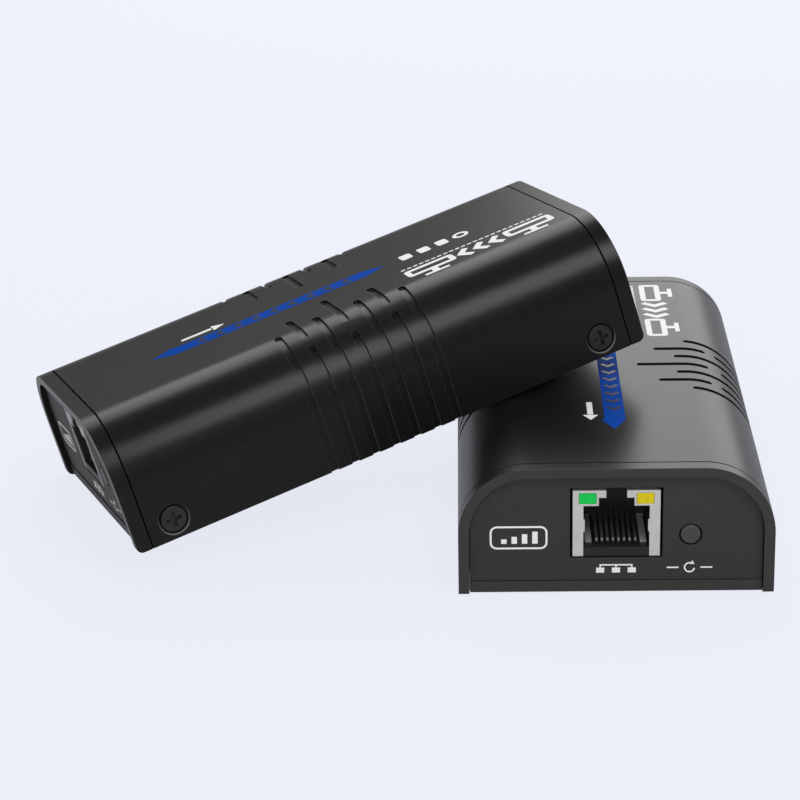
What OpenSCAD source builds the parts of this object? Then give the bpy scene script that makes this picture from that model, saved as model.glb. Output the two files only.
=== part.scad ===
// A pair of small boxes that carry a video signal over a network cable.
// Both boxes share one housing: a U-shaped cover with rounded shoulders over a flat base.
// The sender lies flat, centred on the origin, with its network end towards -Y.
// The receiver leans on the sender's shoulder with one lower corner on the floor.
// Every piece is drawn in the unit frame: x across, y from the network end back, z up from the floor.

/* [Case] */
// Width of one unit across its side walls
case_w = 58; // [55:0.5:64]
// Length of one unit from its network end to its power end
case_l = 108; // [102:0.5:124]
// Height of one unit
case_h = 25.2; // [24.6:0.1:30]
// Radius of the two rounded shoulders
shoulder_r = 13; // [9:0.5:14]
// Thickness of the side walls
side_wall = 2; // [1.6:0.1:2.4]
// Thickness of the top wall
top_wall = 1.8; // [1.4:0.1:2.2]
// Radius of the lower corner at each end of a side wall
leg_corner_r = 1.3; // [0.6:0.1:2]
// How far the end panels lie behind the rim
panel_recess = 1.2; // [0.6:0.1:2]
// Thickness of the end panels
panel_t = 1.6; // [1.2:0.1:2]
// Distance of the fine ring groove from each end
ring_y = 2.9; // [2:0.1:4]
// Width of the fine ring groove
ring_w = 0.3; // [0.2:0.05:0.6]
// Depth of the fine ring groove
ring_d = 0.25; // [0.1:0.05:0.5]

/* [Shoulder grooves] */
// Number of grooves over each shoulder
groove_count = 7; // [3:2:7]
// Distance between neighbouring grooves
groove_pitch = 4.38; // [3.5:0.02:5.5]
// Width of a groove
groove_w = 1.5; // [0.8:0.1:2]
// Depth of a groove
groove_d = 0.5; // [0.2:0.05:0.8]
// Angle from upright at which the short top grooves end
groove_end_a = 19; // [12:0.5:24]
// Angle from upright at which the outer broken grooves go on
groove_resume_a = 34.5; // [30:0.5:45]
// Angle by which the middle groove goes on later than those
groove_mid_lag_a = 3.5; // [0:0.5:8]

/* [Base] */
// Height of the underside above the foot of the side walls
base_z = 0.36; // [0.2:0.02:0.8]
// Thickness of the base plate
base_t = 2.1; // [1.6:0.1:2.4]
// Distance of the base plate's ends from the ends of the case
base_end_gap = 1; // [0.4:0.1:1.6]
// Width of one cooling slot in the base
vent_w = 1.6; // [1:0.1:2.4]
// Length of one cooling slot in the base
vent_l = 13; // [6:0.5:16]
// Distance between neighbouring cooling slots
vent_pitch = 4; // [3.2:0.1:6]
// Number of cooling slots in each row
vent_count = 9; // [3:2:11]

/* [Screws] */
// Distance of the side screws from each end
screw_y = 8.6; // [8:0.1:11]
// Height of the side screws
screw_z = 3.8; // [3.6:0.1:4.2]
// Diameter of a side screw's head
screw_head_d = 5.1; // [4.4:0.1:5.4]
// Diameter of the recess round the head
screw_recess_d = 5.7; // [5.5:0.1:6.2]
// Depth of the recess
screw_recess_depth = 1.2; // [0.9:0.1:1.4]
// Diameter of a side screw's shank
screw_shank_d = 2.8; // [2.2:0.1:3]
// Length of a side screw's shank
screw_shank_l = 5; // [4:0.1:6]
// Diameter of a board screw's head
board_head_d = 4.6; // [3.8:0.1:5]
// Diameter of a board screw's shank
board_shank_d = 2.2; // [1.8:0.1:2.6]

/* [Network jack] */
// Width of the jack
jack_w = 16; // [15.6:0.1:16.6]
// Height of the jack above the board
jack_h = 13; // [12.8:0.1:13.6]
// Length of the jack
jack_l = 21.3; // [19:0.1:26]
// Width of the opening that takes the plug
plug_w = 12.1; // [11.9:0.05:12.3]
// Height of the opening that takes the plug
plug_h = 8.3; // [8.1:0.05:8.5]
// Depth of the opening that takes the plug
plug_depth = 14; // [12:0.1:15]
// Height of the sill under the opening
sill_h = 1.7; // [1.5:0.05:1.9]
// Width of the wide step over the opening
latch_w = 6.5; // [6:0.1:6.9]
// Height of the wide step
latch_h = 1.6; // [1.4:0.05:1.7]
// Width of the narrow notch over the step
notch_w = 3.8; // [3:0.1:4.4]
// Clearance of the panel's cut-out round the sides of the jack
cutout_gap = 0.5; // [0.3:0.05:0.8]
// Width of a lamp
lamp_w = 3.14; // [2.6:0.02:3.2]
// Height of a lamp
lamp_h = 2.1; // [1.8:0.05:2.2]

/* [Reset button] */
// Distance of the button from the middle of the panel
button_x = 13.6; // [13:0.1:15]
// Height of the button's axis above the board
button_rise = 4.2; // [4:0.1:5]
// Diameter of the button
button_d = 3.7; // [3:0.1:4]
// Diameter of the button's hole in the panel
button_hole_d = 4.3; // [4.2:0.1:5]
// How far the button goes in when it is pressed
button_travel = 0.5; // [0.3:0.05:0.8]

/* [Power end] */
// Width of the HDMI socket's opening
hdmi_w = 14; // [13.8:0.05:14.2]
// Height of the HDMI socket's opening
hdmi_h = 4.55; // [4.5:0.05:4.7]
// Length of the HDMI socket
hdmi_l = 12; // [10:0.1:14]
// Diameter of the power inlet's bore
dc_bore_d = 6.3; // [6:0.1:6.6]
// Diameter of the power inlet's centre pin
dc_pin_d = 2.1; // [1.9:0.1:2.5]
// Width of the power inlet
dc_w = 9; // [8.6:0.1:9.4]
// Height of the power inlet
dc_h = 11; // [10.6:0.1:11.4]
// Length of the power inlet
dc_l = 12.5; // [11:0.1:15]
// Diameter of the power lamp
power_led_d = 3; // [2.8:0.1:3.2]

/* [Circuit board] */
// Thickness of the circuit board
pcb_t = 1.6; // [1.2:0.1:1.8]
// Clearance between the board and the side walls
pcb_side_gap = 2; // [1.5:0.1:2.5]
// Share of the free height inside the case that lies under the board
under_board_share = 0.527; // [0.5:0.001:0.56]
// Diameter of the pillars
pillar_d = 6; // [5:0.1:6.4]

/* [Resting place] */
// Angle at which the receiver leans
lean_a = 15.8; // [12:0.1:19]
// Angle by which the receiver is turned clockwise, seen from above
turn_a = 68.3; // [60:0.1:75]
// Distance of the receiver's front from the sender's, along the sender
receiver_y = 34.4; // [25:0.1:45]
// Clearance between the receiver's underside and the sender's shoulder
rest_gap = 0.4; // [0.3:0.05:1]

/* [Hidden] */
$fn = 72;
// How far a cutter runs past the face that it cuts
overrun = 1;
// Clearance between pieces of one unit that are slid together
seat_gap = 0.1;
// Clearance round a screw's shank
shank_gap = 0.2;
// Clearance between a screw's shank and the pilot hole that it grips
thread_gap = 0.03;

// Case
half_w = case_w / 2;
flat_x = half_w - shoulder_r;
shoulder_z = case_h - shoulder_r;
inner_half_w = half_w - side_wall;
inner_top = case_h - top_wall;
base_top = base_z + base_t;
// How far the rib that stops an end panel stands in from the wall
stop_rib_h = 1.2;
// Width of that rib along the case
stop_rib_w = 1.2;
panel_back = panel_recess + panel_t;
stop_y = panel_back + seat_gap;
stop_end = stop_y + stop_rib_w;
// Height of the rib on the base that stops the panel's lower edge
base_rib_h = 1.6;
// Bevel round the mouth of a screw recess
recess_bevel = 0.3;
// Shares of the half width at which a groove starts, counted from the middle groove
groove_start_shares = [0.23, 0.493, 0.362, 0.58];
// Angle from upright at which the two runs of a whole groove meet
groove_join_a = 60;

// Screw bosses on the base
boss_w = 7;
boss_d = 5.4;
boss_wall = 1.6;
boss_top = screw_z + screw_shank_d / 2 + boss_wall;
boss_inner_x = inner_half_w - seat_gap - boss_d;
// Share of the case's half width at which the rows of cooling slots lie
vent_x_share = 0.36;
// Width and depth of the cross in a screw's head
cross_w = 0.7;
cross_l = 3;
cross_depth = 0.7;
// How far a side screw's head lies below the wall's face
head_sink = 0.15;
head_t = screw_recess_depth - head_sink;

// Circuit board
pillar_h = under_board_share * (inner_top - base_top - pcb_t - jack_h);
pcb_z = base_top + pillar_h;
pcb_top = pcb_z + pcb_t;
pcb_w = 2 * (inner_half_w - pcb_side_gap);
pcb_gap = 0.4;
pcb_y0 = stop_end + seat_gap;
pcb_y1 = case_l - pcb_y0;
pcb_waist_x = boss_inner_x - pcb_gap;
pcb_waist_l = screw_y + boss_w / 2 + pcb_gap;
board_hole_d = board_shank_d + 3 * shank_gap;
board_head_t = 1.5;
board_shank_l = pcb_t + pillar_h - board_head_t / 2;
pillar_x = pcb_w / 2 - pillar_d / 2 - pcb_gap * 2;
pillar_y = pcb_waist_l + pillar_d;

// Network jack
shield_t = 0.3;
jack_y = panel_recess;
jack_top = pcb_top + jack_h;
jack_back = jack_y + jack_l;
plug_z = pcb_top + sill_h;
plug_top = plug_z + plug_h;
latch_top = plug_top + latch_h;
insert_half_w = jack_w / 2 - shield_t;
insert_top = jack_top - shield_t;
// Clearance of the panel's cut-out below the jack
cutout_drop = 0.36;
// Clearance of the panel's cut-out above the jack
cutout_rise = 0.6;
// Depth of the notch in the shield's top wall
shield_notch_l = 3;
// Small inward tabs on the two front legs of the shield
tab_w = 0.25;
tab_h = 2.35;
tab_rise = 4.9;
// Legs of the shield that go through the board
leg_w = 1.6;
leg_reach_share = 0.48;
leg_l = pcb_t + leg_reach_share * pillar_h;
leg_y_shares = [0.3, 0.72];
// Pegs under the insert
peg_d = 3.1;
peg_reach_share = 0.42;
peg_l = pcb_t + peg_reach_share * pillar_h;
peg_x = 5.7;
peg_y_share = 0.5;
// Lamps in the jack
lamp_l = 9;
lamp_r = 0.3;
lamp_gap = 0.05;
lamp_inset = 0.2;
lamp_x = (latch_w / 2 + insert_half_w) / 2 - lamp_inset;
lamp_z = (plug_top + insert_top) / 2 + seat_gap;
// Strips on the cavity's floor, beside the contacts
rail_w = 1.2;
rail_h = 0.5;
rail_x = 5.05;
rail_inset = 0.8;
// Contact wires
contact_count = 8;
contact_pitch = 1.02;
contact_w = 0.45;
contact_t = 0.3;
contact_bend_r = 0.6;
contact_front = 1.7;
contact_slope_a = 9;
contact_end_gap = 0.8;

// Reset button and its switch
button_z = pcb_top + button_rise;
button_proud = 0.15;
button_bevel = 0.25;
button_fit = 0.08;
flange_d = 5;
flange_t = 0.8;
switch_w = 6.6;
switch_y = pcb_y0 + 1.6;
switch_l = 3.6;
switch_wall = 1.1;
switch_h = button_rise + switch_w / 2;
bracket_t = 0.4;
bracket_arm_l = 2.6;
bracket_leg_h = 1.4;
clear_gap = 0.3;
flange_y = switch_y + switch_wall + clear_gap;
switch_cavity_d = flange_d + 2 * clear_gap;

// HDMI socket
hdmi_t = 0.35;
hdmi_x_share = 0.19;
hdmi_x = hdmi_x_share * case_w;
hdmi_z = pcb_top + hdmi_t;
hdmi_cut_gap = 0.35;
hdmi_y1 = case_l - panel_recess;
hdmi_y0 = hdmi_y1 - hdmi_l;
hdmi_block_l = 4;
hdmi_shoulder_share = 0.42;
hdmi_foot_share = 0.2;
hdmi_foot_w = 11;
tongue_w = 11;
tongue_t = 1.2;
tongue_gap = 1.5;
tongue_rise_share = 0.52;
tongue_z = hdmi_z + tongue_rise_share * hdmi_h;
finger_count = 10;
finger_pitch = 1;
finger_w = 0.34;
finger_t = 0.12;
finger_l = 4.6;

// Power inlet
dc_x_share = 0.21;
dc_x = -dc_x_share * case_w;
dc_axis_rise = 6.5;
dc_z = pcb_top + dc_axis_rise;
dc_y1 = case_l - panel_back - seat_gap;
dc_y0 = dc_y1 - dc_l;
dc_nose_d = 7.6;
dc_nose_reach_share = 0.8;
dc_nose_l = dc_nose_reach_share * panel_t;
dc_nose_gap = 0.2;
dc_bore_l = 9.5;
dc_pin_inset = 0.8;
dc_slot_w = 2.6;
dc_slot_d = 0.9;
dc_spring_t = 0.3;
dc_spring_w = 2.2;
dc_spring_rise = 0.65;
dc_spring_gap = 1;

// Power lamp
power_x_share = 0.035;
power_x = -power_x_share * case_w;
power_drop = 0.42;
power_z = dc_z - power_drop;
power_led_l = 3.6;
power_flange_w = 0.4;
power_flange_l = 0.8;
power_leg_w = 0.5;
power_leg_gap = 2.54;
power_leg_l = 2;
power_hole_gap = 0.15;

// Parts on the board
main_chip_w = 20;
main_chip_t = 1.5;
main_chip_pins = 14;
hdmi_chip_w = 11;
hdmi_chip_t = 1.2;
hdmi_chip_pins = 10;
memory_w = 7.6;
memory_l = 14;
memory_t = 1.1;
memory_pins = 13;
pin_l = 0.9;
pin_t = 0.25;
pin_w = 0.3;
sink_base_t = 1.4;
sink_h = 6.2;
sink_fins = 7;
sink_fin_t = 1;
cap_d = 6.3;
cap_h = 6.2;
cap_base_w = 6.6;
cap_base_t = 0.9;
cap_count = 3;
cap_pitch_share = 0.0952;
cap_pitch = cap_pitch_share * (pcb_y1 - pcb_y0);
coil_w = 7;
coil_h = 3.4;
coil_r = 1;
coil_dish_d = 4.6;
coil_dish_depth = 0.4;
coil_pitch_share = 0.1;
coil_pitch = coil_pitch_share * (pcb_y1 - pcb_y0);
crystal_l = 11.2;
crystal_w = 4.6;
crystal_h = 3.4;
crystal_flange = 0.4;
// Clearance between the main chip's pins and the parts beside them
side_part_gap = 0.9;
main_chip_edge = main_chip_w / 2 + pin_l + side_part_gap;
memory_x = main_chip_edge + pin_l + memory_w / 2;
cap_x = -main_chip_edge - cap_base_w / 2;
coil_x = -main_chip_edge - coil_w / 2;
hdmi_chip_x = main_chip_w * 3 / 8;
crystal_x = -crystal_l / 8;
// Shares of the board's length at which its parts lie
main_chip_y_share = 0.5;
memory_y_share = 0.47;
hdmi_chip_y_share = 0.76;
cap_y_share = 0.6;
coil_y_share = 0.31;
crystal_y_share = 0.67;

// Place of the receiver in the sender's frame
lean_s = sin(lean_a);
lean_c = cos(lean_a);
turn_s = sin(turn_a);
turn_c = cos(turn_a);
// Slope of the receiver's own axes against the floor
slope_x = lean_s * turn_c;
slope_y = lean_s * turn_s;
corner_lift = leg_corner_r * (slope_y + lean_c - norm([slope_y, lean_c]));
receiver_z = half_w * slope_x - corner_lift;
rest_plane = flat_x * lean_s + shoulder_z * lean_c + shoulder_r + rest_gap;
receiver_x = (lean_c * receiver_z - rest_plane) / lean_s;

// Places one unit as the sender
module sender() {
    translate([0, -case_l / 2, 0]) children();
}

// Places one unit as the receiver
module receiver() {
    translate([receiver_x, receiver_y - case_l / 2, receiver_z])
        rotate([0, -lean_a, 0])
            rotate([0, 0, -turn_a])
                children();
}

// Draws its children on both sides of the middle plane
module both_sides() {
    children();
    mirror([1, 0, 0]) children();
}

// Draws its children at both ends of the case
module both_ends() {
    children();
    translate([0, case_l, 0]) mirror([0, 1, 0]) children();
}

// Pulls a flat outline, drawn as seen from the front, from y0 to y1
module along_y(y0, y1) {
    translate([0, y1, 0]) rotate([90, 0, 0]) linear_extrude(height = y1 - y0) children();
}

// Pulls a flat outline, drawn as y and z, across the unit about x = 0
module across_x(w) {
    translate([-w / 2, 0, 0]) rotate([90, 0, 90]) linear_extrude(height = w) children();
}

// Rectangle about its own middle with rounded corners
module rounded_rect(w, h, r) {
    square([w - 2 * r, h], center = true);
    square([w, h - 2 * r], center = true);
    for (sx = [-1, 1], sy = [-1, 1])
        translate([sx * (w / 2 - r), sy * (h / 2 - r)]) circle(r = r);
}

// Slot about its own middle with round ends, long along x
module slot_2d(l, w) {
    square([l - w, w], center = true);
    for (side = [-1, 1])
        translate([side * (l - w) / 2, 0]) circle(d = w);
}

// Outline of the case, drawn in by side_in at the sides and top_in at the top
module outline(side_in = 0, top_in = 0) {
    r = shoulder_r - side_in;
    half = half_w - side_in;
    top = case_h - top_in;
    translate([-half, 0]) square([2 * half, top - r]);
    translate([r - half, 0]) square([2 * (half - r), top]);
    for (side = [-1, 1])
        translate([side * (half - r), top - r]) intersection() {
            circle(r = r);
            translate([-r, 0]) square([2 * r, r]);
        }
}

// Skin of the case down to a depth, as a flat outline
module skin_2d(depth) {
    difference() {
        translate([-half_w - overrun, -overrun])
            square([case_w + 2 * overrun, case_h + 2 * overrun]);
        outline(depth, depth);
        translate([-half_w + depth, -2 * overrun])
            square([case_w - 2 * depth, 3 * overrun]);
    }
}

// Right-hand part of the outline plane between two angles from upright, about the shoulder's axis
module sector_2d(from_a, to_a) {
    reach = case_w;
    mid_a = (from_a + to_a) / 2;
    translate([flat_x, shoulder_z])
        polygon([
            [0, 0],
            reach * [sin(from_a), cos(from_a)],
            reach * [sin(mid_a), cos(mid_a)],
            reach * [sin(to_a), cos(to_a)]
        ]);
}

// Round end of a groove on the shoulder's arc
module groove_end_arc(a) {
    translate([flat_x, 0, shoulder_z])
        rotate([0, a, 0])
            translate([0, 0, shoulder_r - groove_d])
                cylinder(d = groove_w, h = groove_d + overrun);
}

// Top run of a groove, from its start near the middle of the cover to an angle on the shoulder
module groove_top(start_x, to_a) {
    start_a = asin(max(0, (start_x + groove_w / 2 - flat_x) / shoulder_r));
    along_y(-groove_w / 2, groove_w / 2) intersection() {
        skin_2d(groove_d);
        union() {
            sector_2d(start_a, to_a);
            if (start_x + groove_w / 2 < flat_x)
                translate([start_x + groove_w / 2, shoulder_z])
                    square([flat_x - start_x - groove_w / 2, case_h]);
        }
    }
    if (start_x + groove_w / 2 < flat_x)
        translate([start_x + groove_w / 2, 0, case_h - groove_d])
            cylinder(d = groove_w, h = groove_d + overrun);
    else
        groove_end_arc(start_a);
}

// Lower run of a groove, from an angle on the shoulder down to the foot of the wall
module groove_foot(from_a) {
    along_y(-groove_w / 2, groove_w / 2) intersection() {
        skin_2d(groove_d);
        union() {
            sector_2d(from_a, 90);
            translate([flat_x, -overrun]) square([case_w, shoulder_z + overrun]);
        }
    }
}

// All grooves over the right-hand shoulder
module shoulder_grooves() {
    middle = (groove_count - 1) / 2;
    for (i = [0 : groove_count - 1]) {
        k = abs(i - middle);
        start_x = groove_start_shares[k] * half_w;
        resume_a = groove_resume_a + (k == 0 ? groove_mid_lag_a : 0);
        translate([0, case_l / 2 + (i - middle) * groove_pitch, 0]) {
            if (k % 2 == 1) {
                groove_top(start_x, groove_join_a);
                groove_foot(groove_join_a);
            } else {
                groove_top(start_x, groove_end_a);
                groove_end_arc(groove_end_a);
                groove_foot(resume_a);
                groove_end_arc(resume_a);
            }
        }
    }
}

// Cutter that rounds the lower front corner of the side walls
module leg_corner_cut() {
    difference() {
        translate([-half_w - overrun, -overrun, -overrun])
            cube([case_w + 2 * overrun, overrun + leg_corner_r, overrun + leg_corner_r]);
        translate([-half_w - 2 * overrun, leg_corner_r, leg_corner_r])
            rotate([0, 90, 0])
                cylinder(r = leg_corner_r, h = case_w + 4 * overrun);
    }
}

// Recess, bevel and through-hole of one side screw
module side_screw_hole() {
    translate([0, screw_y, screw_z]) rotate([0, 90, 0]) {
        translate([0, 0, half_w - screw_recess_depth])
            cylinder(d = screw_recess_d, h = screw_recess_depth + overrun);
        translate([0, 0, half_w - recess_bevel])
            cylinder(d1 = screw_recess_d, d2 = screw_recess_d + 2 * recess_bevel, h = recess_bevel);
        translate([0, 0, inner_half_w - overrun])
            cylinder(d = screw_shank_d + 2 * shank_gap, h = side_wall + overrun);
    }
}

// Rib inside the cover behind the front panel
module stop_rib() {
    along_y(stop_y, stop_end) difference() {
        outline(side_wall / 2, top_wall / 2);
        outline(side_wall + stop_rib_h, top_wall + stop_rib_h);
        translate([-half_w, -overrun]) square([case_w, base_top + base_rib_h + overrun]);
    }
}

module top_shell() {
    color("#2b2b2b") difference() {
        union() {
            along_y(0, case_l) difference() {
                outline();
                translate([0, -overrun]) outline(side_wall, top_wall - overrun);
                outline(side_wall, top_wall);
            }
            both_ends() stop_rib();
        }
        both_ends() leg_corner_cut();
        both_ends() along_y(ring_y, ring_y + ring_w) skin_2d(ring_d);
        both_sides() both_ends() side_screw_hole();
        both_sides() shoulder_grooves();
    }
}

// Bore that a side screw's shank grips
module side_pilot() {
    translate([boss_inner_x - overrun, screw_y, screw_z])
        rotate([0, 90, 0])
            cylinder(d = screw_shank_d + 2 * thread_gap, h = boss_d + 2 * overrun);
}

// Bore that a board screw's shank grips
module pillar_pilot() {
    translate([pillar_x, pillar_y, base_top - base_t / 2])
        cylinder(d = board_shank_d + 2 * thread_gap, h = base_t + pillar_h);
}

module base_plate() {
    plate_w = 2 * (inner_half_w - seat_gap);
    rib_w = 2 * (inner_half_w - stop_rib_h - seat_gap);
    vents_l = (vent_count - 1) * vent_pitch;
    color("#303030") difference() {
        union() {
            translate([-plate_w / 2, base_end_gap, base_z])
                cube([plate_w, case_l - 2 * base_end_gap, base_t]);
            both_sides() both_ends() {
                translate([boss_inner_x, screw_y - boss_w / 2, base_z])
                    cube([boss_d, boss_w, boss_top - base_z]);
                translate([pillar_x, pillar_y, base_z])
                    cylinder(d = pillar_d, h = base_t + pillar_h);
            }
            both_ends() translate([-rib_w / 2, stop_y, base_top])
                cube([rib_w, stop_rib_w, base_rib_h]);
        }
        both_sides() for (i = [0 : vent_count - 1])
            translate([vent_x_share * half_w, (case_l - vents_l) / 2 + i * vent_pitch, 0])
                linear_extrude(height = base_top + overrun) slot_2d(vent_l, vent_w);
        both_sides() both_ends() {
            side_pilot();
            pillar_pilot();
        }
    }
}

// Blank end panel behind the front rim
module panel_blank() {
    along_y(panel_recess, panel_back) difference() {
        outline(side_wall + seat_gap, top_wall + seat_gap);
        translate([-half_w, -overrun]) square([case_w, base_top + seat_gap + overrun]);
    }
}

module front_panel() {
    color("#383838") difference() {
        panel_blank();
        translate([-jack_w / 2 - cutout_gap, panel_recess - overrun, pcb_top - cutout_drop])
            cube([jack_w + 2 * cutout_gap, panel_t + 2 * overrun, jack_h + cutout_drop + cutout_rise]);
        translate([button_x, panel_recess - overrun, button_z])
            rotate([-90, 0, 0])
                cylinder(d = button_hole_d, h = panel_t + 2 * overrun);
    }
}

module rear_panel() {
    color("#383838") difference() {
        translate([0, case_l, 0]) mirror([0, 1, 0]) panel_blank();
        translate([hdmi_x, 0, hdmi_z])
            along_y(case_l - panel_back - overrun, case_l - panel_recess + overrun)
                hdmi_2d(hdmi_t + hdmi_cut_gap);
        translate([dc_x, case_l - panel_back - overrun, dc_z])
            rotate([-90, 0, 0])
                cylinder(d = dc_nose_d + 2 * dc_nose_gap, h = panel_t + 2 * overrun);
        translate([power_x, case_l - panel_back - overrun, power_z])
            rotate([-90, 0, 0])
                cylinder(d = power_led_d + 2 * power_hole_gap, h = panel_t + 2 * overrun);
    }
}

// Cross recess, cut downwards from z = 0
module cross_cut() {
    for (a = [0, 90])
        rotate([0, 0, a])
            translate([-cross_l / 2, -cross_w / 2, -cross_depth])
                cube([cross_l, cross_w, cross_depth + overrun]);
}

// Side screw with its head's face at z = 0, pointing down
module side_screw() {
    difference() {
        union() {
            translate([0, 0, -head_t]) rotate_extrude() polygon([
                [0, 0],
                [screw_head_d / 2, 0],
                [screw_head_d / 2, head_t - head_sink],
                [screw_head_d / 2 - head_sink, head_t],
                [0, head_t]
            ]);
            translate([0, 0, -head_t - screw_shank_l]) cylinder(d = screw_shank_d, h = screw_shank_l);
        }
        cross_cut();
    }
}

module case_screws() {
    color("#262626")
        both_sides() both_ends()
            translate([half_w - head_sink, screw_y, screw_z])
                rotate([0, 90, 0])
                    side_screw();
}

// Board screw with the underside of its head at z = 0
module board_screw() {
    difference() {
        union() {
            rotate_extrude() polygon([
                [0, 0],
                [board_head_d / 2, 0],
                [board_head_d / 2, board_head_t / 2],
                [board_head_d / 4, board_head_t],
                [0, board_head_t]
            ]);
            translate([0, 0, -board_shank_l]) cylinder(d = board_shank_d, h = board_shank_l);
        }
        translate([0, 0, board_head_t]) cross_cut();
    }
}

module board_screws() {
    color("silver")
        both_sides() both_ends()
            translate([pillar_x, pillar_y, pcb_top])
                board_screw();
}

// Corner that the board leaves free for a screw boss
module board_corner() {
    translate([pcb_waist_x, pcb_y0 - overrun, pcb_z - overrun])
        cube([pcb_w, pcb_waist_l - pcb_y0 + overrun, pcb_t + 2 * overrun]);
}

module circuit_board() {
    color("#1f5a35") difference() {
        translate([-pcb_w / 2, pcb_y0, pcb_z]) cube([pcb_w, pcb_y1 - pcb_y0, pcb_t]);
        both_sides() both_ends() board_corner();
        both_sides() both_ends() translate([pillar_x, pillar_y, pcb_z - overrun])
            cylinder(d = board_hole_d, h = pcb_t + 2 * overrun);
        both_sides() translate([peg_x, jack_y + peg_y_share * jack_l, pcb_z - overrun])
            cylinder(d = peg_d + 2 * seat_gap, h = pcb_t + 2 * overrun);
        both_sides() for (share = leg_y_shares)
            translate([
                jack_w / 2 - shield_t - shank_gap,
                jack_y + share * jack_l - leg_w / 2 - shank_gap,
                pcb_z - overrun
            ])
                cube([shield_t + 2 * shank_gap, leg_w + 2 * shank_gap, pcb_t + 2 * overrun]);
    }
}

// Front face of the shield as a flat outline
module shield_face_2d() {
    difference() {
        translate([-jack_w / 2, pcb_top]) square([jack_w, jack_h]);
        translate([-plug_w / 2, pcb_top - overrun]) square([plug_w, sill_h + plug_h + overrun]);
        translate([-latch_w / 2, plug_top - overrun]) square([latch_w, latch_h + overrun]);
        translate([-notch_w / 2, latch_top - overrun]) square([notch_w, jack_h]);
        for (side = [-1, 1])
            translate([side * lamp_x, lamp_z])
                rounded_rect(lamp_w + 2 * lamp_gap, lamp_h + 2 * lamp_gap, lamp_r);
    }
    for (side = [-1, 1])
        translate([side * (plug_w / 2 - tab_w / 2), pcb_top + tab_rise + tab_h / 2])
            square([tab_w, tab_h], center = true);
}

module lan_jack_shield() {
    color("silver") difference() {
        union() {
            along_y(jack_y, jack_y + shield_t) shield_face_2d();
            difference() {
                translate([-jack_w / 2, jack_y, pcb_top]) cube([jack_w, jack_l, jack_h]);
                translate([-insert_half_w, jack_y - overrun, pcb_top - overrun])
                    cube([2 * insert_half_w, jack_l - shield_t + overrun, jack_h - shield_t + overrun]);
            }
            both_sides() for (share = leg_y_shares)
                translate([insert_half_w, jack_y + share * jack_l - leg_w / 2, pcb_top - leg_l])
                    cube([shield_t, leg_w, leg_l + overrun]);
        }
        translate([-notch_w / 2, jack_y - overrun, latch_top])
            cube([notch_w, shield_notch_l + overrun, jack_h]);
    }
}

module lan_jack_insert() {
    block_y = jack_y + shield_t + lamp_gap;
    cavity_y = jack_y - overrun;
    color("#151515") {
        difference() {
            union() {
                translate([-insert_half_w + lamp_gap, block_y, pcb_top])
                    cube([
                        2 * (insert_half_w - lamp_gap),
                        jack_back - shield_t - lamp_gap - block_y,
                        jack_h - shield_t - lamp_gap
                    ]);
                translate([-plug_w / 2 + lamp_gap, jack_y + lamp_gap, pcb_top])
                    cube([plug_w - 2 * lamp_gap, shield_t + overrun, sill_h]);
                both_sides() translate([peg_x, jack_y + peg_y_share * jack_l, pcb_top - peg_l])
                    cylinder(d = peg_d, h = peg_l + overrun);
            }
            translate([-plug_w / 2, cavity_y, plug_z])
                cube([plug_w, plug_depth + overrun, plug_h]);
            translate([-latch_w / 2, cavity_y, plug_top - overrun])
                cube([latch_w, plug_depth + overrun, latch_h + overrun]);
            translate([-notch_w / 2, cavity_y, latch_top - overrun])
                cube([notch_w, plug_depth / 2 + overrun, jack_h]);
            both_sides() translate([lamp_x, 0, lamp_z])
                along_y(cavity_y, jack_y + lamp_l + lamp_gap)
                    rounded_rect(lamp_w + 2 * lamp_gap, lamp_h + 2 * lamp_gap, lamp_r);
        }
        both_sides() translate([rail_x - rail_w / 2, jack_y + rail_inset, plug_z])
            cube([rail_w, plug_depth - rail_inset, rail_h]);
    }
}

// Side view of one contact: along the floor to the front, round, and back up at a slope
module contact_2d() {
    inner_r = contact_bend_r - contact_t;
    floor_l = plug_depth - contact_front - contact_bend_r;
    translate([jack_y + contact_front + contact_bend_r, plug_z + contact_bend_r]) {
        difference() {
            circle(r = contact_bend_r);
            circle(r = inner_r);
            translate([0, -contact_bend_r]) square([contact_bend_r, 2 * contact_bend_r]);
            rotate(contact_slope_a) square(contact_bend_r);
        }
        translate([0, -contact_bend_r]) square([floor_l, contact_t]);
        rotate(contact_slope_a)
            translate([0, inner_r]) square([floor_l - contact_end_gap, contact_t]);
    }
}

module lan_jack_contacts() {
    color("#c9b27a")
        for (i = [0 : contact_count - 1])
            translate([(i - (contact_count - 1) / 2) * contact_pitch, 0, 0])
                across_x(contact_w) contact_2d();
}

// One lamp of the network jack
module jack_lamp() {
    along_y(jack_y, jack_y + lamp_l) rounded_rect(lamp_w, lamp_h, lamp_r);
}

module lan_led_green() {
    color("#12c554") translate([-lamp_x, 0, lamp_z]) jack_lamp();
}

module lan_led_yellow() {
    color("#d8c81c") translate([lamp_x, 0, lamp_z]) jack_lamp();
}

module reset_button() {
    front = panel_recess - button_proud;
    color("#4a4a4a") translate([button_x, front, button_z]) rotate([-90, 0, 0]) rotate_extrude()
        polygon([
            [0, 0],
            [button_d / 2 - button_bevel, 0],
            [button_d / 2, button_bevel],
            [button_d / 2, flange_y - front],
            [flange_d / 2, flange_y - front],
            [flange_d / 2, flange_y - front + flange_t],
            [0, flange_y - front + flange_t]
        ]);
}

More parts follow.
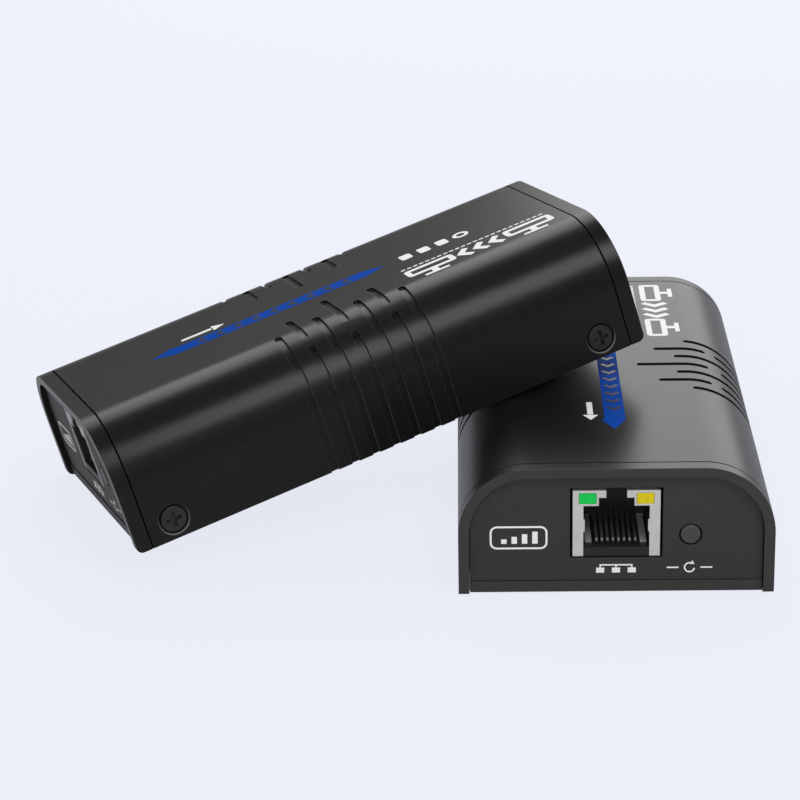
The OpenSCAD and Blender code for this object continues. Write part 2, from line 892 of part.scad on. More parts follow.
module reset_switch() {
    color("#1c1c1c") difference() {
        translate([button_x - switch_w / 2, switch_y, pcb_top])
            cube([switch_w, switch_l, switch_h]);
        translate([button_x, switch_y - overrun, button_z])
            rotate([-90, 0, 0])
                cylinder(d = button_d + 2 * button_fit, h = switch_l + 2 * overrun);
        translate([button_x, switch_y + switch_wall, button_z])
            rotate([-90, 0, 0])
                cylinder(d = switch_cavity_d, h = switch_l + overrun);
    }
}

// Metal strap that closes the switch at the back and grips its sides
module switch_bracket() {
    outer_w = switch_w + 2 * bracket_t;
    color("silver") translate([button_x, switch_y + switch_l, pcb_top]) {
        translate([-outer_w / 2, 0, 0]) cube([outer_w, bracket_t, switch_h]);
        for (side = [0, 1]) mirror([side, 0, 0]) {
            translate([switch_w / 2, -bracket_arm_l, switch_h / 3])
                cube([bracket_t, bracket_arm_l + bracket_t, switch_h / 2]);
            translate([switch_w / 2, -bracket_leg_h, 0])
                cube([bracket_t, bracket_leg_h + bracket_t, switch_h / 2]);
        }
    }
}

// Outline of the HDMI socket's opening, grown all round
module hdmi_2d(grow) {
    top_half = hdmi_w / 2 + grow;
    foot_half = hdmi_foot_w / 2 + grow;
    polygon([
        [-top_half, hdmi_h + grow],
        [top_half, hdmi_h + grow],
        [top_half, hdmi_shoulder_share * hdmi_h],
        [foot_half, hdmi_foot_share * hdmi_h],
        [foot_half, -grow],
        [-foot_half, -grow],
        [-foot_half, hdmi_foot_share * hdmi_h],
        [-top_half, hdmi_shoulder_share * hdmi_h]
    ]);
}

module hdmi_shell() {
    color("silver") translate([hdmi_x, 0, hdmi_z]) difference() {
        along_y(hdmi_y0, hdmi_y1) hdmi_2d(hdmi_t);
        along_y(hdmi_y0 + hdmi_t, hdmi_y1 + overrun) hdmi_2d(0);
    }
}

module hdmi_tongue() {
    color("#141414") {
        translate([hdmi_x, 0, hdmi_z])
            along_y(hdmi_y0 + hdmi_t + lamp_gap, hdmi_y0 + hdmi_block_l) hdmi_2d(-lamp_gap);
        translate([hdmi_x - tongue_w / 2, hdmi_y0 + hdmi_block_l - overrun, tongue_z - tongue_t / 2])
            cube([tongue_w, hdmi_l - hdmi_block_l - tongue_gap + overrun, tongue_t]);
    }
}

// Row of contact strips on one face of the tongue
module finger_row(count) {
    for (i = [0 : count - 1])
        translate([(i - (count - 1) / 2) * finger_pitch - finger_w / 2, 0, 0])
            cube([finger_w, finger_l, finger_t]);
}

module hdmi_contacts() {
    color("#c9a84a") translate([hdmi_x, hdmi_y0 + hdmi_block_l + seat_gap, tongue_z]) {
        translate([0, 0, tongue_t / 2]) finger_row(finger_count);
        translate([0, 0, -tongue_t / 2 - finger_t]) finger_row(finger_count - 1);
    }
}

module dc_jack_body() {
    nose_y = dc_y1 + dc_nose_l;
    color("#161616") difference() {
        union() {
            translate([dc_x - dc_w / 2, dc_y0, pcb_top]) cube([dc_w, dc_l, dc_h]);
            translate([dc_x, dc_y1 - overrun, dc_z])
                rotate([-90, 0, 0])
                    cylinder(d = dc_nose_d, h = dc_nose_l + overrun);
        }
        translate([dc_x, nose_y - dc_bore_l, dc_z])
            rotate([-90, 0, 0])
                cylinder(d = dc_bore_d, h = dc_bore_l + overrun);
        translate([dc_x - dc_slot_w / 2, nose_y - dc_bore_l, dc_z - dc_bore_d / 2 - dc_slot_d])
            cube([dc_slot_w, dc_bore_l - dc_nose_l, dc_bore_d / 2 + dc_slot_d]);
    }
}

module dc_jack_pin() {
    pin_y0 = dc_y1 + dc_nose_l - dc_bore_l;
    pin_end = dc_y1 + dc_nose_l - dc_pin_inset;
    color("silver") translate([dc_x, pin_y0, dc_z]) rotate([-90, 0, 0]) rotate_extrude()
        polygon([
            [0, 0],
            [dc_pin_d / 2, 0],
            [dc_pin_d / 2, pin_end - pin_y0 - dc_pin_d / 4],
            [dc_pin_d / 4, pin_end - pin_y0],
            [0, pin_end - pin_y0]
        ]);
}

// Leaf in the slot under the bore, kinked up towards the plug
module dc_jack_spring() {
    l = dc_bore_l - dc_nose_l - 2 * dc_spring_gap;
    y0 = dc_y1 + dc_nose_l - dc_bore_l + dc_spring_gap / 2;
    z0 = dc_z - dc_bore_d / 2 - dc_slot_d;
    color("#c9b27a") translate([dc_x, y0, z0]) across_x(dc_spring_w)
        polygon([
            [0, 0],
            [l / 3, 0],
            [l * 2 / 3, dc_spring_rise],
            [l, dc_spring_rise / 2],
            [l, dc_spring_rise / 2 + dc_spring_t],
            [l * 2 / 3, dc_spring_rise + dc_spring_t],
            [l / 3, dc_spring_t],
            [0, dc_spring_t]
        ]);
}

module power_led() {
    tip_y = case_l - panel_recess;
    foot_y = tip_y - power_led_l;
    color("#7a1414") {
        translate([power_x, foot_y, power_z]) rotate([-90, 0, 0]) {
            cylinder(d = power_led_d, h = power_led_l - power_led_d / 2);
            translate([0, 0, power_led_l - power_led_d / 2]) intersection() {
                sphere(d = power_led_d);
                cylinder(d = power_led_d + power_flange_w, h = power_led_d);
            }
            translate([0, 0, -power_flange_l])
                cylinder(d = power_led_d + 2 * power_flange_w, h = power_flange_l);
        }
        for (side = [-1, 1])
            translate([power_x + side * power_leg_gap / 2 - power_leg_w / 2, 0, 0]) {
                translate([0, foot_y - power_flange_l - power_leg_l, power_z - power_leg_w / 2])
                    cube([power_leg_w, power_leg_l, power_leg_w]);
                translate([0, foot_y - power_flange_l - power_leg_l, pcb_top])
                    cube([power_leg_w, power_leg_w, power_z - pcb_top]);
            }
    }
}

// Moves its children to a place on the board, given as x and a share of the board's length
module on_board(x, y_share) {
    translate([x, pcb_y0 + y_share * (pcb_y1 - pcb_y0), pcb_top]) children();
}

// One side's row of chip pins, along x, standing out towards -Y from the chip's edge
module pin_row(count, row_l, edge) {
    pitch = row_l / count;
    for (i = [0 : count - 1])
        translate([(i - (count - 1) / 2) * pitch - pin_w / 2, -edge - pin_l, 0])
            cube([pin_w, pin_l + pin_t, pin_t]);
}

// Square chip with pins on all four sides
module quad_chip(w, t, pins) {
    translate([-w / 2, -w / 2, 0]) cube([w, w, t]);
    for (a = [0 : 90 : 270])
        rotate([0, 0, a]) pin_row(pins, w - 2 * pin_l, w / 2);
}

module main_chip() {
    color("#202225") on_board(0, main_chip_y_share)
        quad_chip(main_chip_w, main_chip_t, main_chip_pins);
}

module hdmi_chip() {
    color("#202225") on_board(hdmi_chip_x, hdmi_chip_y_share)
        quad_chip(hdmi_chip_w, hdmi_chip_t, hdmi_chip_pins);
}

module memory_chip() {
    color("#202225") on_board(memory_x, memory_y_share) {
        translate([-memory_w / 2, -memory_l / 2, 0]) cube([memory_w, memory_l, memory_t]);
        for (a = [90, 270])
            rotate([0, 0, a]) pin_row(memory_pins, memory_l - pin_l, memory_w / 2);
    }
}

module heat_sink() {
    fin_pitch = (main_chip_w - sink_fin_t) / (sink_fins - 1);
    color("#a9adb2") on_board(0, main_chip_y_share)
        translate([-main_chip_w / 2, -main_chip_w / 2, main_chip_t]) {
            cube([main_chip_w, main_chip_w, sink_base_t]);
            for (i = [0 : sink_fins - 1])
                translate([i * fin_pitch, 0, 0]) cube([sink_fin_t, main_chip_w, sink_h]);
        }
}

module capacitors() {
    color("#b9bcc0") on_board(cap_x, cap_y_share)
        for (i = [0 : cap_count - 1])
            translate([0, i * cap_pitch, 0]) {
                translate([-cap_base_w / 2, -cap_base_w / 2, 0])
                    cube([cap_base_w, cap_base_w, cap_base_t]);
                cylinder(d = cap_d, h = cap_h);
            }
}

module inductors() {
    color("#3a3d40") on_board(coil_x, coil_y_share)
        for (i = [0, 1])
            translate([0, i * coil_pitch, 0]) difference() {
                linear_extrude(height = coil_h) rounded_rect(coil_w, coil_w, coil_r);
                translate([0, 0, coil_h - coil_dish_depth]) cylinder(d = coil_dish_d, h = overrun);
            }
}

module crystal() {
    color("#c4c6c8") on_board(crystal_x, crystal_y_share) {
        linear_extrude(height = crystal_flange)
            slot_2d(crystal_l + 2 * crystal_flange, crystal_w + 2 * crystal_flange);
        linear_extrude(height = crystal_h) slot_2d(crystal_l, crystal_w);
    }
}

sender() top_shell();  // sender_top_shell
sender() base_plate();  // sender_base_plate
sender() front_panel();  // sender_front_panel
sender() rear_panel();  // sender_rear_panel
sender() case_screws();  // sender_case_screws
sender() circuit_board();  // sender_circuit_board
sender() board_screws();  // sender_board_screws
sender() lan_jack_shield();  // sender_lan_jack_shield
sender() lan_jack_insert();  // sender_lan_jack_insert
sender() lan_jack_contacts();  // sender_lan_jack_contacts
sender() lan_led_green();  // sender_lan_led_green
sender() lan_led_yellow();  // sender_lan_led_yellow
sender() reset_button();  // sender_reset_button
sender() reset_switch();  // sender_reset_switch
sender() switch_bracket();  // sender_switch_bracket
sender() hdmi_shell();  // sender_hdmi_shell
sender() hdmi_tongue();  // sender_hdmi_tongue
sender() hdmi_contacts();  // sender_hdmi_contacts
sender() dc_jack_body();  // sender_dc_jack_body
sender() dc_jack_pin();  // sender_dc_jack_pin
sender() dc_jack_spring();  // sender_dc_jack_spring
sender() power_led();  // sender_power_led
sender() main_chip();  // sender_main_chip
sender() heat_sink();  // sender_heat_sink
sender() memory_chip();  // sender_memory_chip
sender() hdmi_chip();  // sender_hdmi_chip
sender() capacitors();  // sender_capacitors
sender() inductors();  // sender_inductors
sender() crystal();  // sender_crystal
receiver() top_shell();  // receiver_top_shell
receiver() base_plate();  // receiver_base_plate
receiver() front_panel();  // receiver_front_panel
receiver() rear_panel();  // receiver_rear_panel
receiver() case_screws();  // receiver_case_screws
receiver() circuit_board();  // receiver_circuit_board
receiver() board_screws();  // receiver_board_screws
receiver() lan_jack_shield();  // receiver_lan_jack_shield
receiver() lan_jack_insert();  // receiver_lan_jack_insert
receiver() lan_jack_contacts();  // receiver_lan_jack_contacts
receiver() lan_led_green();  // receiver_lan_led_green
receiver() lan_led_yellow();  // receiver_lan_led_yellow
receiver() reset_button();  // receiver_reset_button
receiver() reset_switch();  // receiver_reset_switch
receiver() switch_bracket();  // receiver_switch_bracket
receiver() hdmi_shell();  // receiver_hdmi_shell
receiver() hdmi_tongue();  // receiver_hdmi_tongue
receiver() hdmi_contacts();  // receiver_hdmi_contacts
receiver() dc_jack_body();  // receiver_dc_jack_body
receiver() dc_jack_pin();  // receiver_dc_jack_pin
receiver() dc_jack_spring();  // receiver_dc_jack_spring
receiver() power_led();  // receiver_power_led
receiver() main_chip();  // receiver_main_chip
receiver() heat_sink();  // receiver_heat_sink
receiver() memory_chip();  // receiver_memory_chip
receiver() hdmi_chip();  // receiver_hdmi_chip
receiver() capacitors();  // receiver_capacitors
receiver() inductors();  // receiver_inductors
receiver() crystal();  // receiver_crystal
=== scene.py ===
"""Looks of a pair of video extender boxes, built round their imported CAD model.

Every piece is modelled in the unit frame: x across, y from the network end back, z up from the floor, in
millimetres. A stand then puts it where its unit stands in the row frame, in metres.
"""

import logging
import math
from collections.abc import Sequence
from dataclasses import dataclass, field, replace
from enum import Enum
from typing import ClassVar, Protocol

import bmesh
import bpy
from mathutils import Euler, Matrix, Vector


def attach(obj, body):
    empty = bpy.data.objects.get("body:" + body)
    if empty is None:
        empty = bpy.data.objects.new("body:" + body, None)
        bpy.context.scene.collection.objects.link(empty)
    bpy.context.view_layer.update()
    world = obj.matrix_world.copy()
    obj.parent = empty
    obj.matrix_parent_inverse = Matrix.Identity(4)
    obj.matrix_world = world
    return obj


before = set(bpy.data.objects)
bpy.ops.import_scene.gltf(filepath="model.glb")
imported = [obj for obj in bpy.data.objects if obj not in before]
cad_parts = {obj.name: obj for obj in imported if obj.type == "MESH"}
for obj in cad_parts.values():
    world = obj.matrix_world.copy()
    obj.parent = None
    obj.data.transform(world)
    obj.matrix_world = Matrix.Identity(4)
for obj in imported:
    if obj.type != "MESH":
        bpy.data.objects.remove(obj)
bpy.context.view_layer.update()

MM = 0.001
log = logging.getLogger("extender")

Point = tuple[float, float]
Triple = tuple[float, float, float]
Colour = tuple[float, float, float, float]
Piece = bpy.types.Object
Material = bpy.types.Material
Socket = bpy.types.NodeSocket
Value = Socket | float | str | Triple | Colour | Vector | Euler
Inputs = dict[str | int, Value]
Verts = list[bmesh.types.BMVert]


# ---- places


@dataclass(frozen=True)
class Stand:
    """Where a unit stands: the place of its front middle foot, and how it leans and turns."""

    place: Triple
    lean: float = 0.0
    turn: float = 0.0

    def matrix(self) -> Matrix:
        """The unit frame's place in the row frame, both in metres.

        Returns:
            The matrix from the unit frame to the row frame.
        """
        leaning = Matrix.Rotation(math.radians(-self.lean), 4, "Y")
        turning = Matrix.Rotation(math.radians(-self.turn), 4, "Z")
        return Matrix.Translation(self.place) @ leaning @ turning


class Unit(Enum):
    """The two units of the pair."""

    SENDER = Stand((0.0, -0.054, 0.0))
    RECEIVER = Stand((-0.099022, -0.0196, 0.002633), lean=15.8, turn=68.3)

    @property
    def body(self) -> str:
        """The name of the unit's CAD body, and the start of its nodes' names."""
        return self.name.lower()

    def node(self, piece: str) -> Piece:
        """The unit's CAD node of that name."""
        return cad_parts[f"{self.body}_{piece}"]

    def to_row(self) -> Matrix:
        """Millimetres in the unit frame to metres in the row frame."""
        return self.value.matrix() @ Matrix.Scale(MM, 4)


@dataclass(frozen=True)
class CaseSizes:
    """The sizes of a unit that the looks need, in millimetres, as the CAD source has them."""

    half_w: float = 29.0
    length: float = 108.0
    top_z: float = 25.2
    front_y: float = 1.2
    board_top: float = 7.4


CASE = CaseSizes()


class Face(Enum):
    """A flat face that carries print, with its own u and v axes and its outward direction."""

    TOP = "top"
    FRONT = "front"

    def matrix(self) -> Matrix:
        """The face's own plane, u across and v up as read, in the unit frame.

        Returns:
            The matrix from the face's plane to the unit frame.
        """
        if self is Face.TOP:
            return Matrix.Translation((0.0, 0.0, CASE.top_z))
        return Matrix.Translation((0.0, CASE.front_y, 0.0)) @ Matrix.Rotation(math.pi / 2, 4, "X")


@dataclass(frozen=True)
class Row:
    """Places at one pitch along a line, in millimetres."""

    start: float
    pitch: float
    count: int

    def places(self) -> list[float]:
        """Every place of the row, from first to last."""
        return [self.start + self.pitch * i for i in range(self.count)]


# ---- colours and recipes


def linear(code: str) -> Colour:
    """A colour as Blender's sockets take it.

    Args:
        code: six hexadecimal digits, as a colour is read off a screen.

    Returns:
        The colour in linear light, with alpha 1.
    """
    parts = [int(code[i : i + 2], 16) / 255 for i in (0, 2, 4)]
    red, green, blue = (p / 12.92 if p <= 0.04045 else ((p + 0.055) / 1.055) ** 2.4 for p in parts)
    return red, green, blue, 1.0


@dataclass(frozen=True)
class Cloud:
    """Soft noise: the size of its blots in millimetres, the part of its range that counts, and its ends."""

    size: float
    detail: float = 2.0
    low: float = 0.35
    high: float = 0.65
    least: float = 0.0
    most: float = 1.0


@dataclass
class Graph:
    """A node tree, with short words for adding and joining its nodes."""

    tree: bpy.types.NodeTree

    def put(self, socket: Socket, value: Value) -> None:
        """Joins a socket to another one, or sets it to a plain value.

        Args:
            socket: the input.
            value: an output to join it to, a colour's code, or the value itself.
        """
        if isinstance(value, Socket):
            self.tree.links.new(value, socket)
        else:
            socket.default_value = linear(value) if isinstance(value, str) else value

    def add(self, kind: str, inputs: Inputs | None = None, **settings: object) -> bpy.types.Node:
        """A new node.

        Args:
            kind: the node's type, as Blender names it.
            inputs: what goes into its sockets, by their names or numbers.
            **settings: the properties to set on it.

        Returns:
            The node.
        """
        node = self.tree.nodes.new(kind)
        for key, value in settings.items():
            setattr(node, key, value)
        for key, value in (inputs or {}).items():
            self.put(node.inputs[key], value)
        return node

    def math(self, operation: str, *values: Value, clamp: bool = False) -> Socket:
        """One sum, product or the like of sockets and numbers."""
        node = self.add("ShaderNodeMath", dict(enumerate(values)), operation=operation, use_clamp=clamp)
        return node.outputs[0]

    def blend(self, factor: Socket, first: Socket, second: Socket) -> Socket:
        """A blend of two shaders, by a factor from 0 to 1."""
        return self.add("ShaderNodeMixShader", {0: factor, 1: first, 2: second}).outputs[0]


class Recipe(Graph):
    """The node tree of one material, with short words for what the finishes share."""

    BEVEL_SAMPLES = 6
    ROUGH_SPAN = (0.3, 0.7)

    def __init__(self, name: str, unit: Unit) -> None:
        """Starts a material with a plain shader and its output.

        Args:
            name: the material's name.
            unit: the unit whose frame its patterns follow.
        """
        self.material = bpy.data.materials.new(name)
        self.material.use_nodes = True
        super().__init__(self.material.node_tree)
        self.shader = self.tree.nodes["Principled BSDF"]
        self.unit = unit
        self._coords: Socket | None = None

    def set(self, **values: Value) -> None:
        """Sets sockets of the main shader, named with underscores for spaces."""
        for key, value in values.items():
            self.put(self.shader.inputs[key.replace("_", " ")], value)

    def base(self) -> Socket:
        """The colour that was set last."""
        return self.shader.inputs["Base Color"].links[0].from_socket

    def coords(self) -> Socket:
        """Object coordinates turned into the unit frame, in millimetres.

        Returns:
            The coordinates, made once for the whole material.
        """
        if self._coords is None:
            place = self.unit.value.matrix()
            inputs = {
                "Vector": self.add("ShaderNodeTexCoord").outputs["Object"],
                "Location": place.to_translation(),
                "Rotation": place.to_euler("XYZ"),
                "Scale": (MM, MM, MM),
            }
            self._coords = self.add("ShaderNodeMapping", inputs, vector_type="TEXTURE").outputs["Vector"]
        return self._coords

    def axis(self, name: str) -> Socket:
        """The unit frame's X, Y or Z, in millimetres."""
        return self.add("ShaderNodeSeparateXYZ", {0: self.coords()}).outputs[name]

    def cells(self, size: float) -> Socket:
        """Distance to the nearest point of a scatter whose cells are that wide in millimetres."""
        inputs = {"Scale": 1 / size, "Vector": self.coords()}
        return self.add("ShaderNodeTexVoronoi", inputs).outputs["Distance"]

    def noise(self, size: float, detail: float = 2.0, stretch: Triple = (1.0, 1.0, 1.0)) -> Socket:
        """Soft noise.

        Args:
            size: about how wide one blot is, in millimetres.
            detail: how many finer layers lie in it.
            stretch: how much finer it is along each axis.

        Returns:
            Its value, from 0 to 1 round 0.5.
        """
        place = self.add("ShaderNodeVectorMath", {0: self.coords(), 1: stretch}, operation="MULTIPLY")
        inputs = {"Scale": 1 / size, "Detail": detail, "Vector": place.outputs[0]}
        return self.add("ShaderNodeTexNoise", inputs).outputs["Fac"]

    def off(self, value: Value, place: float) -> Socket:
        """How far a value lies from a place, to either side."""
        return self.math("ABSOLUTE", self.math("SUBTRACT", value, place))

    def reach(self, first: Socket, second: Socket) -> Socket:
        """The length of a line whose two legs are given."""
        squares = [self.math("MULTIPLY", leg, leg) for leg in (first, second)]
        return self.math("SQRT", self.math("ADD", *squares))

    def spread(self, value: Socket, span: Point, becomes: Point) -> Socket:
        """A value carried from one range to another, and held at its ends."""
        ends = zip(("From Min", "From Max", "To Min", "To Max"), (*span, *becomes))
        return self.add("ShaderNodeMapRange", {"Value": value, **dict(ends)}, clamp=True).outputs["Result"]

    def cloud(self, cloud: Cloud) -> Socket:
        """A cloud's noise between its two ends."""
        noise = self.noise(cloud.size, cloud.detail)
        return self.spread(noise, (cloud.low, cloud.high), (cloud.least, cloud.most))

    def roughen(self, noise: Socket, span: Point, middle: float = 0.0) -> None:
        """Lets the roughness follow a noise over a span, counted from a middle value."""
        ends = (middle + span[0], middle + span[1])
        self.set(Roughness=self.spread(noise, self.ROUGH_SPAN, ends))

    def mix(self, factor: Socket, first: Value, second: Value) -> Socket:
        """A blend of two colours, by a factor from 0 to 1."""
        inputs = {"Factor": factor, 6: first, 7: second}
        return self.add("ShaderNodeMix", inputs, data_type="RGBA").outputs[2]

    def rounded(self, radius: float) -> Socket:
        """The surface's direction with its edges rounded to a radius in millimetres."""
        node = self.add("ShaderNodeBevel", {"Radius": radius * MM}, samples=self.BEVEL_SAMPLES)
        return node.outputs["Normal"]

    def facing(self, first: Value, second: Value) -> Socket:
        """How far two directions agree, from -1 to 1."""
        node = self.add("ShaderNodeVectorMath", {0: first, 1: second}, operation="DOT_PRODUCT")
        return node.outputs["Value"]

    def flat(self) -> Socket:
        """The surface's own direction."""
        return self.add("ShaderNodeNewGeometry").outputs["Normal"]

    def edges(self, radius: float, gain: float) -> Socket:
        """A mask that rises from 0 to 1 at the edges of a form, over a radius in millimetres."""
        turned = self.math("SUBTRACT", 1.0, self.facing(self.rounded(radius), self.flat()))
        return self.math("MULTIPLY", turned, gain, clamp=True)

    def bump(self, height: Socket, depth: float, over: Socket | None = None) -> None:
        """Raises the surface.

        Args:
            height: how high it stands, from 0 to 1.
            depth: what a height of 1 is, in millimetres.
            over: the direction that it is raised from, where that isn't the form's own.
        """
        inputs = {"Strength": 1.0, "Distance": depth * MM, "Height": height}
        if over is not None:
            inputs["Normal"] = over
        self.set(Normal=self.add("ShaderNodeBump", inputs).outputs["Normal"])


# ---- finishes


class Finish(Protocol):
    """What every finish can do."""

    def mix(self, recipe: Recipe) -> None:
        """Writes the finish into a recipe."""


Wears = dict[str, tuple[str, Finish]]


@dataclass(frozen=True)
class Moulded:
    """Moulded plastic with a fine spark-eroded grain and a painted highlight along its edges. The speck's
    size counts in grains.
    """

    colour: str
    worn: str
    roughness: float = 0.38
    grain: float = 0.22
    depth: float = 0.006
    edge: float = 0.18
    shine: float = 0.5
    # rim is the colour of a painted highlight along the edges of the form
    rim: str = "3a3a3a"
    edge_highlight_gain: float = 2.6
    stain: Cloud = Cloud(26.0, 0.0, 0.3, 0.7, most=0.25)
    speck: Cloud = Cloud(1.6, 1.0, 0.42, 0.6, most=0.25)
    sheen: Cloud = Cloud(30.0, 0.0, 0.2, 0.8)
    sheen_half: float = 0.006

    def mix(self, recipe: Recipe) -> None:
        """Writes the finish into a recipe.

        Args:
            recipe: the material's recipe.
        """
        speck = replace(self.speck, size=self.grain * self.speck.size)
        shade = recipe.mix(recipe.cloud(self.stain), self.colour, self.worn)
        shade = recipe.mix(recipe.cloud(speck), shade, self.worn)
        # painted highlight: the edges of the form are mixed towards the rim colour
        rim = recipe.edges(self.edge, self.edge_highlight_gain)
        low, high = self.roughness - self.sheen_half, self.roughness + self.sheen_half
        sheen = recipe.cloud(replace(self.sheen, least=low, most=high))
        recipe.set(Base_Color=recipe.mix(rim, shade, self.rim))
        recipe.set(Roughness=sheen, Specular_IOR_Level=self.shine)
        recipe.bump(recipe.noise(self.grain), self.depth, over=recipe.rounded(self.edge))


@dataclass(frozen=True)
class Sheet:
    """Sheet metal, plated or not, with a rolling grain along one axis and a painted highlight along its
    edges.
    """

    colour: str
    dull: str
    roughness: float = 0.32
    stretch: Triple = (1.0, 0.06, 1.0)
    grain: float = 0.12
    grain_detail: float = 3.0
    depth: float = 0.002
    edge: float = 0.1
    metal: float = 1.0
    rough_span: Point = (-0.06, 0.1)
    dulling: Cloud = Cloud(3.0, high=0.7, most=0.5)
    # the near-white colour of a painted highlight mixed in along the edges
    edge_highlight: Colour = (0.9, 0.9, 0.9, 1.0)
    edge_highlight_share: float = 0.7
    edge_highlight_gain: float = 3.5

    def mix(self, recipe: Recipe) -> None:
        """Writes the finish into a recipe.

        Args:
            recipe: the material's recipe.
        """
        lines = recipe.noise(self.grain, self.grain_detail, self.stretch)
        # the painted highlight along the edges
        rim = recipe.math("MULTIPLY", recipe.edges(self.edge, self.edge_highlight_gain), self.edge_highlight_share)
        shade = recipe.mix(recipe.cloud(self.dulling), self.colour, self.dull)
        recipe.set(Base_Color=recipe.mix(rim, shade, self.edge_highlight), Metallic=self.metal)
        recipe.roughen(lines, self.rough_span, self.roughness)
        recipe.bump(lines, self.depth, over=recipe.rounded(self.edge))


@dataclass(frozen=True)
class CoverSkin(Moulded):
    """The cover's moulded skin, with painted light on its end rims, painted shade in the seams near both
    ends and a painted highlight round the side screws' recesses.
    """

    # cut is the paler colour of the end faces: painted light
    cut: str = "3f3f3f"
    cut_depth: float = 0.12
    # the seam colour is painted shade in the grooves near both ends
    seam: str = "040404"
    seam_y: float = 3.05
    seam_half: float = 0.17
    recess_y: float = 8.6
    recess_z: float = 3.8
    recess_r: float = 2.97
    recess_half: float = 0.11
    # where and how strongly a painted highlight lies on the ring round each screw recess
    ring_highlight_span: Point = (1.5, -2.0)
    ring_highlight_share: Point = (0.12, 0.9)
    wall_skin: float = 0.5

    def mix(self, recipe: Recipe) -> None:
        """Writes the finish into a recipe.

        Args:
            recipe: the material's recipe.
        """
        super().mix(recipe)
        middle = CASE.length / 2
        away = recipe.off(recipe.axis("Y"), middle)
        # painted light: the end faces are painted paler than the rest of the skin
        at_end = recipe.math("GREATER_THAN", away, middle - self.cut_depth)
        skin = recipe.mix(at_end, recipe.base(), self.cut)
        # painted shade: the seams are painted near black
        in_seam = recipe.math("LESS_THAN", recipe.off(away, middle - self.seam_y), self.seam_half)
        skin = recipe.mix(in_seam, skin, self.seam)
        # a painted highlight on a ring round each side screw's recess, stronger towards its lower side
        along = recipe.math("SUBTRACT", away, middle - self.recess_y)
        up = recipe.math("SUBTRACT", recipe.axis("Z"), self.recess_z)
        off_ring = recipe.off(recipe.reach(along, up), self.recess_r)
        on_ring = recipe.math("LESS_THAN", off_ring, self.recess_half)
        across = recipe.math("ABSOLUTE", recipe.axis("X"))
        outside = recipe.math("GREATER_THAN", across, CASE.half_w - self.wall_skin)
        highlight_fade = recipe.spread(up, self.ring_highlight_span, self.ring_highlight_share)
        painted_ring_highlight = recipe.math("MULTIPLY", recipe.math("MULTIPLY", on_ring, outside), highlight_fade)
        recipe.set(Base_Color=recipe.mix(painted_ring_highlight, skin, self.rim))
        # the painted shade in the seams also takes their reflection away
        lit = recipe.math("SUBTRACT", 1.0, in_seam)
        recipe.set(Specular_IOR_Level=recipe.math("MULTIPLY", lit, self.shine))


@dataclass(frozen=True)
class SocketBlock(Moulded):
    """Moulded socket block with painted light on its floor rails, brighter on the right one."""

    rail_x: float = 5.05
    rail_half: float = 0.62
    rail_top: float = 9.7
    sill_y: float = 2.4
    # the colours of the painted light on the left and the right rail
    left_rail_light: str = "a2a2a2"
    right_rail_light: str = "d0d0d0"

    def mix(self, recipe: Recipe) -> None:
        """Writes the finish into a recipe.

        Args:
            recipe: the material's recipe.
        """
        super().mix(recipe)
        across = recipe.axis("X")
        off_rail = recipe.off(recipe.math("ABSOLUTE", across), self.rail_x)
        on_rail = recipe.math("LESS_THAN", off_rail, self.rail_half)
        low = recipe.math("LESS_THAN", recipe.axis("Z"), self.rail_top)
        behind = recipe.math("GREATER_THAN", recipe.axis("Y"), self.sill_y)
        # painted light: the rail tops behind the sill are painted pale
        worn = recipe.math("MULTIPLY", recipe.math("MULTIPLY", on_rail, low), behind)
        right = recipe.math("GREATER_THAN", across, 0.0)
        painted_rail_light = recipe.mix(right, self.left_rail_light, self.right_rail_light)
        recipe.set(Base_Color=recipe.mix(worn, recipe.base(), painted_rail_light))


@dataclass(frozen=True)
class Coated:
    """Steel under a thin black coat that is rubbed a little at its edges."""

    colour: str
    worn: str
    roughness: float = 0.42
    rough_span: Point = (-0.08, 0.1)
    rough_grain: float = 0.4
    metal: float = 0.2
    edge: float = 0.12
    edge_gain: float = 1.8
    rubbing: Cloud = Cloud(0.6, 3.0, least=0.2, most=0.9)
    grain: float = 0.15
    depth: float = 0.004

    def mix(self, recipe: Recipe) -> None:
        """Writes the finish into a recipe.

        Args:
            recipe: the material's recipe.
        """
        rim = recipe.edges(self.edge, self.edge_gain)
        rub = recipe.math("MULTIPLY", rim, recipe.cloud(self.rubbing))
        recipe.set(Base_Color=recipe.mix(rub, self.colour, self.worn), Metallic=self.metal)
        recipe.roughen(recipe.noise(self.rough_grain), self.rough_span, self.roughness)
        recipe.bump(recipe.noise(self.grain), self.depth, over=recipe.rounded(self.edge))


@dataclass(frozen=True)
class Lens:
    """Tinted clear plastic over a lamp, with painted shade where its edge turns away."""

    colour: str
    # rim is the colour of painted shade towards the edges
    rim: str
    glow: float = 0.0
    shine: float = 0.3
    coat: Point = (0.1, 0.12)
    edge: float = 0.22
    edge_gain: float = 2.6
    tint: Cloud = Cloud(0.8, most=0.2)
    rough: Cloud = Cloud(0.5, 2.0, 0.3, 0.7, 0.16, 0.26)
    cell: float = 0.35
    depth: float = 0.006
    corner: float = 0.15

    def mix(self, recipe: Recipe) -> None:
        """Writes the finish into a recipe.

        Args:
            recipe: the material's recipe.
        """
        # painted shade towards the edges, which the glow takes as well
        body = recipe.mix(recipe.edges(self.edge, self.edge_gain), self.colour, self.rim)
        recipe.set(Base_Color=recipe.mix(recipe.cloud(self.tint), body, self.rim))
        recipe.set(Emission_Color=body, Emission_Strength=self.glow, Specular_IOR_Level=self.shine)
        recipe.set(Coat_Weight=self.coat[0], Coat_Roughness=self.coat[1])
        recipe.set(Roughness=recipe.cloud(self.rough))
        recipe.bump(recipe.cells(self.cell), self.depth, over=recipe.rounded(self.corner))


